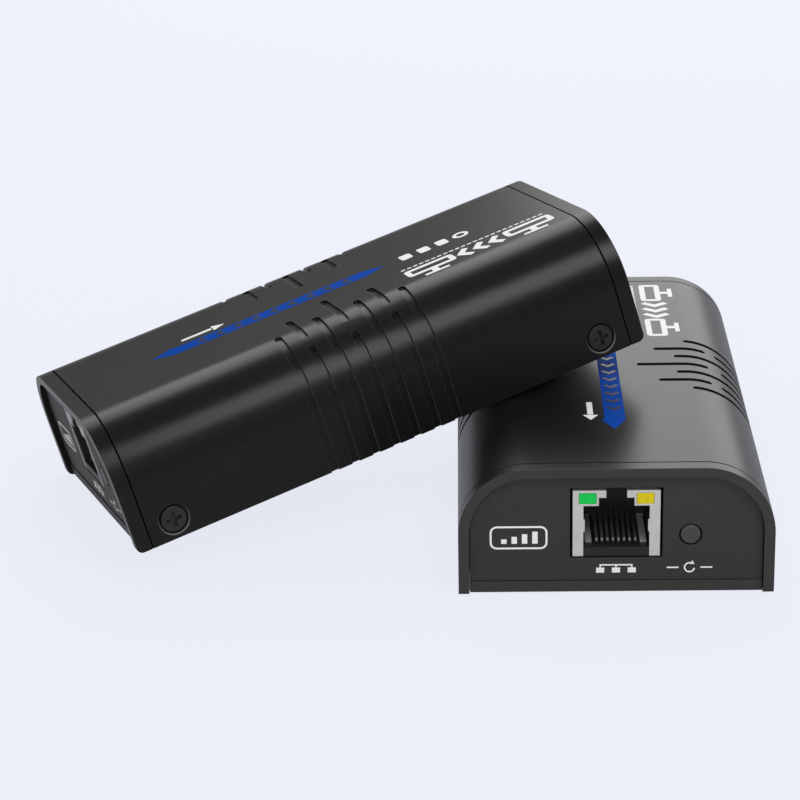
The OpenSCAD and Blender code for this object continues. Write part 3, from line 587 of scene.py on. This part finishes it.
@dataclass(frozen=True)
class BoardMask:
    """Green solder mask over copper tracks, with bare pads between them."""

    mask: str = "17592f"
    track: str = "236b3c"
    laminate: str = "3a4428"
    pad: str = "c8b878"
    coat: Point = (0.4, 0.15)
    track_scale: float = 0.42
    track_w: float = 0.07
    track_soft: float = 0.1
    track_depth: float = 0.03
    patches: Cloud = Cloud(7.0, 2.0, 0.48, 0.52)
    pad_pitch: float = 3.4
    pad_r: float = 0.09
    rough: Cloud = Cloud(1.2, 2.0, 0.3, 0.7, 0.3, 0.42)

    def mix(self, recipe: Recipe) -> None:
        """Writes the finish into a recipe.

        Args:
            recipe: the material's recipe.
        """
        inputs = {
            "Scale": self.track_scale,
            "Mortar Size": self.track_w,
            "Mortar Smooth": self.track_soft,
            "Vector": recipe.coords(),
        }
        brick = recipe.add("ShaderNodeTexBrick", inputs, offset=0.37, squash=0.6, squash_frequency=3)
        tracks = recipe.math("SUBTRACT", 1.0, brick.outputs["Fac"])
        broken = recipe.math("MULTIPLY", tracks, recipe.cloud(self.patches))
        pads = recipe.math("LESS_THAN", recipe.cells(self.pad_pitch), self.pad_r)
        up = recipe.unit.value.matrix().to_3x3() @ Vector((0, 0, 1))
        cut = recipe.math("LESS_THAN", recipe.math("ABSOLUTE", recipe.facing(recipe.flat(), up)), 0.5)
        shade = recipe.mix(broken, self.mask, self.track)
        shade = recipe.mix(pads, shade, self.pad)
        recipe.set(Base_Color=recipe.mix(cut, shade, self.laminate))
        recipe.set(Coat_Weight=self.coat[0], Coat_Roughness=self.coat[1])
        recipe.set(Roughness=recipe.cloud(self.rough))
        recipe.bump(broken, self.track_depth)


@dataclass(frozen=True)
class Package:
    """Moulded chip body with tinned pins standing out round it and a dot at its first pin."""

    centre: Point
    half: Point
    colour: str = "1d1f22"
    worn: str = "33363a"
    mark: str = "55585c"
    tin: str = "c9ccd0"
    skin: float = 0.01
    dot_inset: float = 1.3
    dot_r: float = 0.5
    stain: Cloud = Cloud(0.3, 3.0, most=0.3)
    rough: Cloud = Cloud(0.4, 2.0, 0.3, 0.7, 0.4, 0.55)
    grain: float = 0.12
    depth: float = 0.006

    def mix(self, recipe: Recipe) -> None:
        """Writes the finish into a recipe.

        Args:
            recipe: the material's recipe.
        """
        over, legs = [], []
        for name, middle, half in zip("XY", self.centre, self.half):
            across = recipe.axis(name)
            over.append(recipe.math("SUBTRACT", recipe.off(across, middle), half + self.skin))
            legs.append(recipe.math("ADD", across, half - self.dot_inset - middle))
        pins = recipe.math("GREATER_THAN", recipe.math("MAXIMUM", *over), 0.0)
        dot = recipe.math("LESS_THAN", recipe.reach(*legs), self.dot_r)
        body = recipe.mix(recipe.cloud(self.stain), self.colour, self.worn)
        body = recipe.mix(dot, body, self.mark)
        recipe.set(Base_Color=recipe.mix(pins, body, self.tin), Metallic=pins)
        recipe.set(Roughness=recipe.cloud(self.rough))
        recipe.bump(recipe.noise(self.grain), self.depth)


@dataclass(frozen=True)
class Can:
    """Drawn can on a dark base, as on a small capacitor."""

    base_top: float
    colour: str = "b9bcc0"
    dull: str = "8f9296"
    base: str = "17181a"
    dulling: Cloud = Cloud(2.0, most=0.4)
    rough_span: Point = (0.25, 0.4)
    ring: float = 0.25
    ring_stretch: Triple = (0.1, 0.1, 1.0)
    edge: float = 0.25
    depth: float = 0.004

    def mix(self, recipe: Recipe) -> None:
        """Writes the finish into a recipe.

        Args:
            recipe: the material's recipe.
        """
        low = recipe.math("LESS_THAN", recipe.axis("Z"), self.base_top)
        rings = recipe.noise(self.ring, stretch=self.ring_stretch)
        body = recipe.mix(recipe.cloud(self.dulling), self.colour, self.dull)
        recipe.set(Base_Color=recipe.mix(low, body, self.base))
        recipe.set(Metallic=recipe.math("SUBTRACT", 1.0, low))
        recipe.roughen(rings, self.rough_span)
        recipe.bump(rings, self.depth, over=recipe.rounded(self.edge))


@dataclass(frozen=True)
class Ink:
    """Screen-printed ink, a little uneven and matt."""

    colour: str
    thin: str
    roughness: float = 0.55
    rough_span: Point = (-0.05, 0.08)
    rough_grain: float = 1.0
    shine: float = 0.12
    # a glow here is painted light, as ink is no lamp
    glow: float = 0.0
    weave: Cloud = Cloud(0.35, high=0.7, most=0.3)
    drift: Cloud = Cloud(6.0, low=0.4, high=0.6, most=0.2)
    grain: float = 0.2
    grain_detail: float = 1.0
    depth: float = 0.003

    def mix(self, recipe: Recipe) -> None:
        """Writes the finish into a recipe.

        Args:
            recipe: the material's recipe.
        """
        shade = recipe.mix(recipe.cloud(self.weave), self.colour, self.thin)
        shade = recipe.mix(recipe.cloud(self.drift), shade, self.thin)
        recipe.set(Base_Color=shade, Specular_IOR_Level=self.shine)
        recipe.set(Emission_Color=self.colour, Emission_Strength=self.glow)
        recipe.roughen(recipe.noise(self.rough_grain), self.rough_span, self.roughness)
        recipe.bump(recipe.noise(self.grain, self.grain_detail), self.depth)


def dressed(name: str, unit: Unit, finish: Finish) -> Material:
    """A material of one finish for one unit.

    Args:
        name: the material's name, without the unit.
        unit: the unit whose frame its patterns follow.
        finish: the finish, which writes itself into a recipe.

    Returns:
        The material.
    """
    recipe = Recipe(f"{unit.body}_{name}", unit)
    finish.mix(recipe)
    return recipe.material


CASE_BLACK = CoverSkin("131313", "1f1f1f", roughness=0.28, edge=0.12, shine=0.28, rim="7c7c7c")
BASE_BLACK = Moulded("424342", "4a4b4a", roughness=0.45, shine=0.12, rim="545553")
PANEL_GREY = Moulded("3b3a39", "4a4947", roughness=0.5, grain=0.16, shine=0.22, rim="4c4b4a")
SCREW_BLACK = Coated("2c2c2c", "4e4e4e")
SOCKET_METAL = Sheet("e8e6e2", "d8d6d2", metal=0.4, edge=0.15)
# a darker copy of the socket metal: painted shade for the receiver's shield
SOCKET_METAL_SHADED = Sheet("8e8c88", "76746f", metal=0.8)
SOCKET_BLACK = Moulded("262626", "3e3e3e", roughness=0.42, grain=0.1, depth=0.004, edge=0.1, shine=0.3)
SOCKET_BLOCK = SocketBlock("242424", "3a3a3a", roughness=0.42, grain=0.1, depth=0.004, edge=0.1, shine=0.3)
CONTACT_GOLD = Sheet("6c6b68", "504f4c", roughness=0.3, stretch=(1.0, 0.1, 1.0), grain=0.05, metal=0.6)
PIN_NICKEL = Sheet("cfcfd2", "b5b5b9", roughness=0.18, stretch=(1.0, 0.05, 1.0))
LAMP_GREEN = Lens("00c850", "046c2a", glow=0.24)
LAMP_YELLOW = Lens("dcc800", "8a7c06", glow=0.2)
LAMP_OFF = Lens("b4b6b4", "8c8e8c")
LAMP_RED = Lens("7a1414", "4a0808")
BUTTON_GREY = Moulded("464646", "585858", roughness=0.4, grain=0.12, edge=0.3, shine=0.35, rim="8a8a8a")
SCREW_ZINC = Sheet("bfc2c6", "9da0a4", roughness=0.28, stretch=(1.0, 1.0, 0.2))
SINK = Sheet("a9adb2", "90949a", roughness=0.36, stretch=(1.0, 0.04, 1.0))
FERRITE = Coated("2c2f32", "4c4f52", roughness=0.5)
CRYSTAL = Sheet("c4c6c8", "a4a6a8", roughness=0.24, stretch=(0.1, 1.0, 1.0))
# the white ink glows a little: painted light that brightens the print
INK_WHITE = Ink("fcfcfc", "f4f4f4", glow=0.1)
INK_BLUE = Ink("004cb8", "0044a6", shine=0.02)


# ---- printed marks


def clear() -> None:
    """Leaves edit mode and deselects everything."""
    if bpy.context.object and bpy.context.object.mode != "OBJECT":
        bpy.ops.object.mode_set(mode="OBJECT")
    bpy.ops.object.select_all(action="DESELECT")


@dataclass
class Print:
    """Flat marks on a face of a unit, modelled one at a time, with u and v as x and y in millimetres."""

    FACE = Face.TOP
    CORNER_STEPS = 6
    ARC_STEP = 10.0
    LEAST_MITRE = 0.3
    SUNK = 0.01

    unit: Unit
    film: float = 0.02
    made: list[Piece] = field(default_factory=list)
    mesh: bmesh.types.BMesh | None = None

    def keep(self, line: float = 0.0) -> None:
        """Ends the modelling of one mark and keeps it.

        Args:
            line: the width of the line that its outline becomes, or 0 for a solid mark.
        """
        if line:
            bpy.ops.mesh.inset(thickness=line)
            bpy.ops.mesh.delete(type="FACE")
        bpy.ops.object.mode_set(mode="OBJECT")
        bpy.ops.object.transform_apply(location=True, rotation=True, scale=True)
        self.made.append(bpy.context.object)

    def box(self, u: Point, v: Point, corner: float = 0.0, line: float = 0.0) -> None:
        """A rectangle, solid or drawn as a line.

        Args:
            u: its left and right sides.
            v: its lower and upper sides.
            corner: the radius of its corners.
            line: the width of the line that draws it, or 0 for a solid one.
        """
        clear()
        bpy.ops.mesh.primitive_plane_add(size=1.0, location=(sum(u) / 2, sum(v) / 2, 0.0))
        bpy.context.object.scale = (u[1] - u[0], v[1] - v[0], 1.0)
        bpy.ops.object.transform_apply(location=False, rotation=False, scale=True)
        bpy.ops.object.mode_set(mode="EDIT")
        if corner:
            bpy.ops.mesh.bevel(affect="VERTICES", offset=corner, segments=self.CORNER_STEPS, profile=0.5)
        self.keep(line)

    def disc(
        self, spot: Point, radius: float, points: int = 28, line: float = 0.0, turn: float = 0.0
    ) -> None:
        """A disc, ring or regular polygon.

        Args:
            spot: its middle.
            radius: its outer radius.
            points: how many corners it has.
            line: the width of a ring, or 0 for a solid one.
            turn: the direction of its first corner, in degrees.
        """
        clear()
        bpy.ops.mesh.primitive_circle_add(
            vertices=points,
            radius=radius,
            fill_type="NGON",
            location=(*spot, 0.0),
            rotation=(0.0, 0.0, math.radians(turn - 90)),
        )
        bpy.ops.object.mode_set(mode="EDIT")
        self.keep(line)

    def plane(self) -> Verts:
        """Starts a mark with a plane, whose mesh stays open for pulling.

        Returns:
            Its corners: the left and the right one below, then the same above.
        """
        clear()
        bpy.ops.mesh.primitive_plane_add(size=1.0)
        bpy.ops.object.mode_set(mode="EDIT")
        self.mesh = bmesh.from_edit_mesh(bpy.context.object.data)
        return sorted(self.mesh.verts, key=lambda vert: (vert.co.y, vert.co.x))

    @staticmethod
    def place(verts: Verts, spots: Sequence[Point | Vector]) -> None:
        """Moves vertices.

        Args:
            verts: the vertices.
            spots: where each one goes.
        """
        for vert, spot in zip(verts, spots):
            vert.co = (*spot, 0.0)
        bmesh.update_edit_mesh(bpy.context.object.data)

    def pull(self, pair: Verts, spots: Sequence[Point | Vector]) -> Verts:
        """Extrudes the edge between two vertices and moves its copy.

        Args:
            pair: the two vertices.
            spots: where the copies of the first and of the second one go.

        Returns:
            The copies, in the same order.
        """
        start = pair[0].co.copy()
        bpy.ops.mesh.select_all(action="DESELECT")
        self.mesh.edges.get(pair).select_set(True)
        bmesh.update_edit_mesh(bpy.context.object.data)
        bpy.ops.mesh.extrude_region_move(TRANSFORM_OT_translate={"value": (0.0, 0.0, 0.0)})
        copies = [vert for vert in self.mesh.verts if vert.select]
        copies.sort(key=lambda vert: (vert.co - start).length)
        self.place(copies, spots)
        return copies

    def sides(self, path: list[Vector], width: float) -> list[tuple[Vector, Vector]]:
        """The two edges of a line, mitred where it turns.

        Args:
            path: the points that its middle runs through.
            width: how wide it is.

        Returns:
            For each point, the spots of its right and left edge.
        """
        edges = []
        for i, point in enumerate(path):
            before = (point - path[i - 1]).normalized() if i else None
            after = (path[i + 1] - point).normalized() if i + 1 < len(path) else None
            way = before or after
            along = (way + (after or before)).normalized()
            across = Vector((-along.y, along.x))
            lean = across.dot(Vector((-way.y, way.x)))
            side = across * (width / 2 / max(lean, self.LEAST_MITRE))
            edges.append((point - side, point + side))
        return edges

    def stroke(self, points: list[Point], width: float) -> None:
        """An open line with mitred corners, drawn by pulling its end edge from point to point.

        Args:
            points: the points that its middle runs through.
            width: how wide it is.
        """
        edges = self.sides([Vector(point) for point in points], width)
        low_left, low_right, top_left, top_right = self.plane()
        end = [low_right, top_right]
        self.place([low_left, top_left, *end], [*edges[0], *edges[1]])
        for spots in edges[2:]:
            end = self.pull(end, spots)
        self.keep()

    def arc(self, spot: Point, radius: float, span: Point, width: float) -> None:
        """Part of a ring.

        Args:
            spot: the ring's middle.
            radius: the radius of its middle line.
            span: the angles that it starts and ends at, in degrees.
            width: how wide the line is.
        """
        (u, v), (start, end) = spot, span
        steps = max(4, int(abs(end - start) / self.ARC_STEP))
        angles = [math.radians(start + (end - start) * i / steps) for i in range(steps + 1)]
        self.stroke([(u + radius * math.cos(a), v + radius * math.sin(a)) for a in angles], width)

    def lay(self, name: str, ink: str, finish: Finish, film: float) -> Piece:
        """Joins the marks into one film, gives it its thickness and lays it on the face.

        Args:
            name: the piece's name.
            ink: its material's name.
            finish: its material's finish.
            film: how far it stands above the face, in millimetres.

        Returns:
            The finished piece, which rides the unit's body.
        """
        unit = self.unit
        clear()
        for part in self.made:
            part.select_set(True)
        bpy.context.view_layer.objects.active = self.made[0]
        if len(self.made) > 1:
            bpy.ops.object.join()
        piece = bpy.context.object
        bpy.ops.object.mode_set(mode="EDIT")
        bpy.ops.mesh.select_all(action="SELECT")
        bpy.ops.mesh.normals_make_consistent(inside=False)
        bpy.ops.transform.translate(value=(0.0, 0.0, -self.SUNK))
        bpy.ops.mesh.extrude_region_move(TRANSFORM_OT_translate={"value": (0.0, 0.0, film + self.SUNK)})
        bpy.ops.mesh.select_all(action="SELECT")
        bpy.ops.mesh.normals_make_consistent(inside=False)
        bpy.ops.object.mode_set(mode="OBJECT")
        piece.data.transform(unit.to_row() @ self.FACE.matrix())
        piece.name = piece.data.name = f"{unit.body}_{name}"
        piece.data.materials.clear()
        piece.data.materials.append(dressed(ink, unit, finish))
        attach(piece, unit.body)
        self.made = []
        return piece


@dataclass
class TopPrint(Print):
    """The prints on a unit's top: a blue ribbon with a pointed end, and plain white marks beside it."""

    ribbon_u: Point = (-1.1, 2.85)
    head_u: Point = (-1.8, 3.0)
    tip: Point = (0.56, 19.6)
    tip_half: float = 0.05
    neck_v: float = 24.4
    shoulder_v: float = 65.2
    end_v: float = 69.4
    end_half: float = 0.1
    heads: Row = Row(29.5, 3.9, 9)
    head_half: float = 1.25
    head_rise: float = 1.3
    head_line: float = 0.78
    screens: Row = Row(75.6, 21.6, 2)
    screen_w: float = 10.4
    screen_h: float = 4.3
    screen_line: float = 1.15
    signals: Row = Row(83.0, 3.4, 3)
    signal_half: Point = (2.4, 0.9)
    signal_line: float = 1.35
    marks_u: Point = (12.0, 12.5)
    dashes: Row = Row(70.6, 1.32, 24)
    dash_u: Point = (8.1, 8.65)
    dash_l: float = 0.9
    stem_u: Point = (-4.25, -3.15)
    stem_v: Point = (27.0, 33.4)
    stem_head: float = 1.7
    stem_reach: float = 4.3
    blocks: Row = Row(73.2, 4.0, 3)
    block_u: Point = (-0.7, 2.5)
    block_l: float = 2.4
    block_corner: float = 0.5
    ring: Point = (0.9, 86.6)
    ring_r: float = 1.7
    ring_line: float = 0.8

    def ribbon(self) -> Piece:
        """The blue ribbon, pulled edge by edge from its tip to its far point.

        Returns:
            The finished film.
        """
        middle = sum(self.ribbon_u) / 2
        corners = self.plane()
        self.place(corners, [(u, v) for v in (self.neck_v, self.shoulder_v) for u in self.ribbon_u])
        self.pull(corners[2:], [(middle + side * self.end_half, self.end_v) for side in (-1, 1)])
        head = self.pull(corners[:2], [(u, self.neck_v) for u in self.head_u])
        self.pull(head, [(self.tip[0] + side * self.tip_half, self.tip[1]) for side in (-1, 1)])
        self.keep()
        return self.lay("ribbon_print", "ink_blue", INK_BLUE, self.film)

    def chevrons(self) -> Piece:
        """Arrowheads left free along the ribbon, where the cover shows through.

        Returns:
            The finished film.
        """
        middle, half = sum(self.ribbon_u) / 2, self.head_half
        for v in self.heads.places():
            top = v + self.head_rise
            self.stroke([(middle - half, top), (middle, v), (middle + half, top)], self.head_line)
        piece = self.lay("ribbon_arrows", "case_show", CASE_BLACK, 2 * self.film)
        return piece

    def screen(self, v: float) -> None:
        """A plain display, drawn as a frame on a foot that lies towards +u.

        Args:
            v: how far along the cover its middle lies.
        """
        line, half, u = self.screen_line, self.screen_w / 2, self.marks_u[0]
        corner, neck_half, neck_l, foot_end = (line * share for share in (0.8, 0.6, 1.4, 2.2))
        left, right = u - self.screen_h / 2, u + self.screen_h / 2
        self.box((left, right), (v - half, v + half), corner=corner, line=line)
        self.box((right, right + neck_l), (v - neck_half, v + neck_half))
        self.box((right + neck_l, right + foot_end), (v - half / 2, v + half / 2))

    def marks(self) -> Piece:
        """White marks: a display, arrows and a display in a row, a dashed line, and a small arrow.

        Returns:
            The finished film.
        """
        for v in self.screens.places():
            self.screen(v)
        (wide, high), u = self.signal_half, self.marks_u[1]
        for v in self.signals.places():
            self.stroke([(u - wide, v + high), (u, v - high), (u + wide, v + high)], self.signal_line)
        for v in self.dashes.places():
            self.box(self.dash_u, (v, v + self.dash_l))
        out = 1 if self.unit is Unit.SENDER else -1
        self.box(self.stem_u, self.stem_v)
        tip = (sum(self.stem_u) / 2, sum(self.stem_v) / 2 - out * self.stem_reach)
        self.disc(tip, self.stem_head, points=3, turn=-90.0 * out)
        for v in self.blocks.places():
            self.box(self.block_u, (v, v + self.block_l), corner=self.block_corner)
        self.disc(self.ring, self.ring_r, line=self.ring_line)
        return self.lay("top_marks", "ink_white", INK_WHITE, self.film)

    def build(self) -> list[Piece]:
        """Builds the prints of the top."""
        return [self.ribbon(), self.chevrons(), self.marks()]


@dataclass
class EndPrint(Print):
    """The small pictograms at the sockets of the network end."""

    FACE = Face.FRONT

    line: float = 0.28
    frame_u: Point = (-23.2, -12.6)
    frame_v: Point = (8.9, 13.5)
    frame_corner: float = 1.3
    frame_line: float = 0.36
    bars: Row = Row(-21.1, 1.9, 4)
    bar_w: float = 1.0
    bar_v: Point = (10.0, 10.9)
    bar_step: float = 0.5
    nodes: Row = Row(-2.9, 2.9, 3)
    node_half: float = 0.75
    node_v: Point = (4.05, 5.05)
    rail_v: float = 5.6
    stem_top: float = 5.45
    turn_spot: Point = (13.5, 5.0)
    turn_r: float = 0.9
    turn_span: Point = (60.0, 350.0)
    turn_head: Point = (14.0, 5.9)
    turn_head_r: float = 0.5
    dashes: Row = Row(9.3, 6.2, 2)
    dash_l: float = 2.2

    def front(self) -> Piece:
        """A framed row of bars, a three-box network sign and a turning arrow.

        Returns:
            The finished film.
        """
        half = self.line / 2
        self.box(self.frame_u, self.frame_v, corner=self.frame_corner, line=self.frame_line)
        for i, u in enumerate(self.bars.places()):
            self.box((u, u + self.bar_w), (self.bar_v[0], self.bar_v[1] + self.bar_step * i))
        boxes = self.nodes.places()
        for u in boxes:
            self.box((u - self.node_half, u + self.node_half), self.node_v)
        low, first, last = self.node_v[1], boxes[0], boxes[-1]
        self.stroke([(first, low), (first, self.rail_v), (last, self.rail_v), (last, low)], self.line)
        self.box((-half, half), (low, self.stem_top))
        self.arc(self.turn_spot, self.turn_r, self.turn_span, self.line)
        self.disc(self.turn_head, self.turn_head_r, points=3, turn=-30.0)
        for u in self.dashes.places():
            self.box((u, u + self.dash_l), (self.turn_spot[1] - half, self.turn_spot[1] + half))
        return self.lay("front_marks", "panel_ink", INK_WHITE, self.film)

    def build(self) -> list[Piece]:
        """Builds the prints of the network end."""
        return [self.front()]


# ---- sub-assemblies


@dataclass
class SubAssembly:
    """Pieces of one unit that belong together, each with the name and finish of its material."""

    WEARS: ClassVar[Wears] = {}

    unit: Unit

    def wears(self) -> Wears:
        """What each piece wears."""
        return self.WEARS

    def dress(self) -> int:
        """Gives every CAD node of the sub-assembly its material.

        Returns:
            How many nodes were dressed.
        """
        made: dict[str, Material] = {}
        wears = self.wears()
        for piece, (name, finish) in wears.items():
            if name not in made:
                made[name] = dressed(name, self.unit, finish)
            node = self.unit.node(piece)
            for slot in node.material_slots:
                slot.material = made[name]
            if not node.material_slots:
                node.data.materials.append(made[name])
        return len(wears)


class Housing(SubAssembly):
    """Cover, base, end panels and side screws."""

    WEARS = {
        "top_shell": ("case_black", CASE_BLACK),
        "base_plate": ("base_black", BASE_BLACK),
        "front_panel": ("panel_grey", PANEL_GREY),
        "rear_panel": ("panel_grey", PANEL_GREY),
        "case_screws": ("screw_black", SCREW_BLACK),
    }


@dataclass
class SideSeals:
    """Two thin black films that close the fit between the base and the cover's side walls: a dark sheet put
    where there is only shade, so nothing shows through the gap.
    """

    unit: Unit
    wall_x: float = 26.95
    thin: float = 0.08
    start: float = 1.6
    end: float = 106.4
    low: float = 0.45
    high: float = 2.2

    def build(self) -> Piece:
        """Builds both films as one piece.

        Returns:
            The finished piece.
        """
        clear()
        films = []
        for side in (-1, 1):
            bpy.ops.mesh.primitive_cube_add(size=1.0)
            film = bpy.context.object
            film.dimensions = (self.thin, self.end - self.start, self.high - self.low)
            film.location = (side * self.wall_x, (self.start + self.end) / 2, (self.low + self.high) / 2)
            bpy.ops.object.transform_apply(location=True, rotation=True, scale=True)
            bpy.ops.object.mode_set(mode="EDIT")
            bpy.ops.mesh.bevel(offset=self.thin / 4, segments=2)
            bpy.ops.object.mode_set(mode="OBJECT")
            films.append(film)
        films[0].select_set(True)
        bpy.ops.object.join()
        piece = bpy.context.object
        piece.data.transform(self.unit.to_row())
        piece.name = piece.data.name = f"{self.unit.body}_side_seals"
        piece.data.materials.append(dressed("gap_shade_black", self.unit, SOCKET_BLACK))
        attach(piece, self.unit.body)
        return piece


class NetworkSocket(SubAssembly):
    """Shielded network jack with its contacts and two lamps, lit on the sender alone; the receiver's shield
    wears a darker copy of the metal, painted shade.
    """

    def wears(self) -> Wears:
        """What each piece wears.

        Returns:
            For each piece, the name and finish of its material.
        """
        lit = self.unit is Unit.SENDER
        return {
            # the receiver's shield takes a darker copy of the same metal: painted shade
            "lan_jack_shield": ("socket_metal", SOCKET_METAL if lit else SOCKET_METAL_SHADED),
            "lan_jack_insert": ("socket_block", SOCKET_BLOCK),
            "lan_jack_contacts": ("contact_gold", CONTACT_GOLD),
            "lan_led_green": ("lamp_green", LAMP_GREEN if lit else LAMP_OFF),
            "lan_led_yellow": ("lamp_yellow", LAMP_YELLOW if lit else LAMP_OFF),
        }


class ResetKey(SubAssembly):
    """Reset button, its switch and the strap that holds it."""

    WEARS = {
        "reset_button": ("button_grey", BUTTON_GREY),
        "reset_switch": ("switch_black", SOCKET_BLACK),
        "switch_bracket": ("bracket_metal", SOCKET_METAL),
    }


class PowerEnd(SubAssembly):
    """Video socket, power inlet and power lamp at the rear."""

    WEARS = {
        "hdmi_shell": ("video_metal", SOCKET_METAL),
        "hdmi_tongue": ("video_black", SOCKET_BLACK),
        "hdmi_contacts": ("video_gold", CONTACT_GOLD),
        "dc_jack_body": ("inlet_black", SOCKET_BLACK),
        "dc_jack_pin": ("pin_nickel", PIN_NICKEL),
        "dc_jack_spring": ("inlet_gold", CONTACT_GOLD),
        "power_led": ("lamp_red", LAMP_RED),
    }


class Electronics(SubAssembly):
    """Circuit board and what is soldered to it."""

    WEARS = {
        "circuit_board": ("board_green", BoardMask()),
        "board_screws": ("screw_zinc", SCREW_ZINC),
        "main_chip": ("chip_main", Package((0.0, 54.0), (10.0, 10.0))),
        "memory_chip": ("chip_memory", Package((16.5, 51.0), (3.8, 7.0))),
        "hdmi_chip": ("chip_video", Package((7.5, 79.95), (5.5, 5.5))),
        "heat_sink": ("sink_aluminium", SINK),
        "capacitors": ("can_aluminium", Can(CASE.board_top + 0.9)),
        "inductors": ("ferrite_grey", FERRITE),
        "crystal": ("crystal_can", CRYSTAL),
    }


# ---- studio


@dataclass(frozen=True)
class Softbox:
    """A soft lamp that the camera doesn't see."""

    name: str
    place: Triple
    target: Triple
    size: Point
    radiance: float

    def build(self) -> None:
        """Hangs the lamp and points it at its target."""
        data = bpy.data.lights.new(self.name, "AREA")
        data.shape = "RECTANGLE"
        data.size, data.size_y = self.size
        data.energy = self.radiance * math.pi * self.size[0] * self.size[1]
        lamp = bpy.data.objects.new(self.name, data)
        bpy.context.scene.collection.objects.link(lamp)
        lamp.location = self.place
        aim = Vector(self.target) - Vector(self.place)
        lamp.rotation_mode = "QUATERNION"
        lamp.rotation_quaternion = aim.to_track_quat("-Z", "Y")
        lamp.visible_camera = False


@dataclass
class Studio:
    """Pale floor, soft light and the camera at the photograph's viewing angle."""

    camera_place: Triple = (-0.02725, -0.52905, 0.22312)
    camera_ahead: Triple = (-0.02335, 0.93216, -0.3613)
    camera_right: Triple = (0.99968, 0.01826, -0.01748)
    focal_px: float = 2836.4
    frame_px: float = 800.0
    sensor: float = 36.0
    clip: Point = (0.01, 20.0)
    floor_half: float = 4.0
    floor_colour: str = "f0f3fd"
    bounce_colour: str = "eeeeec"
    floor_glow: float = 0.88
    mirror_dimming: float = 0.45
    world_colour: Colour = (1.0, 0.995, 0.985, 1.0)
    world_level: float = 0.24
    boxes: tuple[Softbox, ...] = (
        Softbox("back_right_box", (0.262, 0.62, 0.28), (0.0, 0.0, 0.03), (0.796, 0.4), 1.95),
        Softbox("back_left_box", (-0.2, 0.5, 0.58), (-0.04, 0.0, 0.03), (0.46, 0.44), 3.0),
        Softbox("front_right_box", (0.25, -0.47, 0.74), (-0.02, 0.0, 0.02), (0.46, 0.4), 4.4),
        Softbox("camera_box", (-0.05, -0.95, 0.34), (0.0, 0.0, 0.02), (0.3, 0.18), 8.0),
    )

    def paper(self) -> Material:
        """Pale paper that looks evenly lit when seen, and dimmer in a mirror.

        Returns:
            The material.
        """
        material = bpy.data.materials.new("floor_paper")
        material.use_nodes = True
        graph = Graph(material.node_tree)
        graph.tree.nodes.clear()
        plain = graph.add("ShaderNodeBsdfDiffuse", {"Color": self.bounce_colour})
        glow = graph.add("ShaderNodeEmission", {"Color": self.floor_colour})
        dark = graph.add("ShaderNodeEmission", {"Strength": 0.0})
        rays = graph.add("ShaderNodeLightPath").outputs
        seen = graph.math("MAXIMUM", rays["Is Camera Ray"], rays["Is Glossy Ray"])
        seen = graph.math("MAXIMUM", seen, rays["Is Transmission Ray"])
        share = graph.math("MULTIPLY", seen, self.floor_glow)
        shown = graph.blend(share, plain.outputs[0], glow.outputs[0])
        dimmed = graph.math("MULTIPLY", rays["Is Glossy Ray"], self.mirror_dimming)
        graph.add("ShaderNodeOutputMaterial", {"Surface": graph.blend(dimmed, shown, dark.outputs[0])})
        return material

    def floor(self) -> None:
        """The floor, a flat grid in pale paper."""
        clear()
        bpy.ops.mesh.primitive_grid_add(x_subdivisions=8, y_subdivisions=8, size=2 * self.floor_half)
        sheet = bpy.context.object
        sheet.name = "studio_floor"
        sheet.data.materials.append(self.paper())

    def world(self) -> None:
        """An even, dim surround."""
        world = bpy.data.worlds.new("studio_world")
        bpy.context.scene.world = world
        world.use_nodes = True
        back = world.node_tree.nodes["Background"]
        back.inputs["Color"].default_value = self.world_colour
        back.inputs["Strength"].default_value = self.world_level

    def camera(self) -> None:
        """The camera, from its place and two of its directions."""
        data = bpy.data.cameras.new("photo_camera")
        data.sensor_width = self.sensor
        data.lens = self.focal_px / self.frame_px * self.sensor
        data.clip_start, data.clip_end = self.clip
        camera = bpy.data.objects.new("photo_camera", data)
        bpy.context.scene.collection.objects.link(camera)
        ahead = Vector(self.camera_ahead).normalized()
        right = Vector(self.camera_right)
        right = (right - ahead * right.dot(ahead)).normalized()
        up = right.cross(ahead)
        turned = Matrix((right, up, -ahead)).transposed().to_4x4()
        camera.matrix_world = Matrix.Translation(self.camera_place) @ turned
        bpy.context.scene.camera = camera

    def build(self) -> None:
        """Sets the whole studio."""
        self.floor()
        self.world()
        for box in self.boxes:
            box.build()
        self.camera()
        bpy.context.scene.view_settings.view_transform = "Standard"


def main() -> None:
    """Builds the looks in order and reports each piece."""
    logging.basicConfig(level=logging.INFO, format="%(name)s: %(message)s")
    Studio().build()
    for unit in Unit:
        for part in (Housing(unit), NetworkSocket(unit), ResetKey(unit), PowerEnd(unit), Electronics(unit)):
            log.info("%s %s: %d nodes dressed", unit.body, type(part).__name__, part.dress())
        shade_films = SideSeals(unit).build()
        log.info("%s: %d faces", shade_films.name, len(shade_films.data.polygons))
        for prints in (TopPrint(unit), EndPrint(unit)):
            for piece in prints.build():
                log.info("%s: %d faces", piece.name, len(piece.data.polygons))


if __name__ == "__main__":
    main()
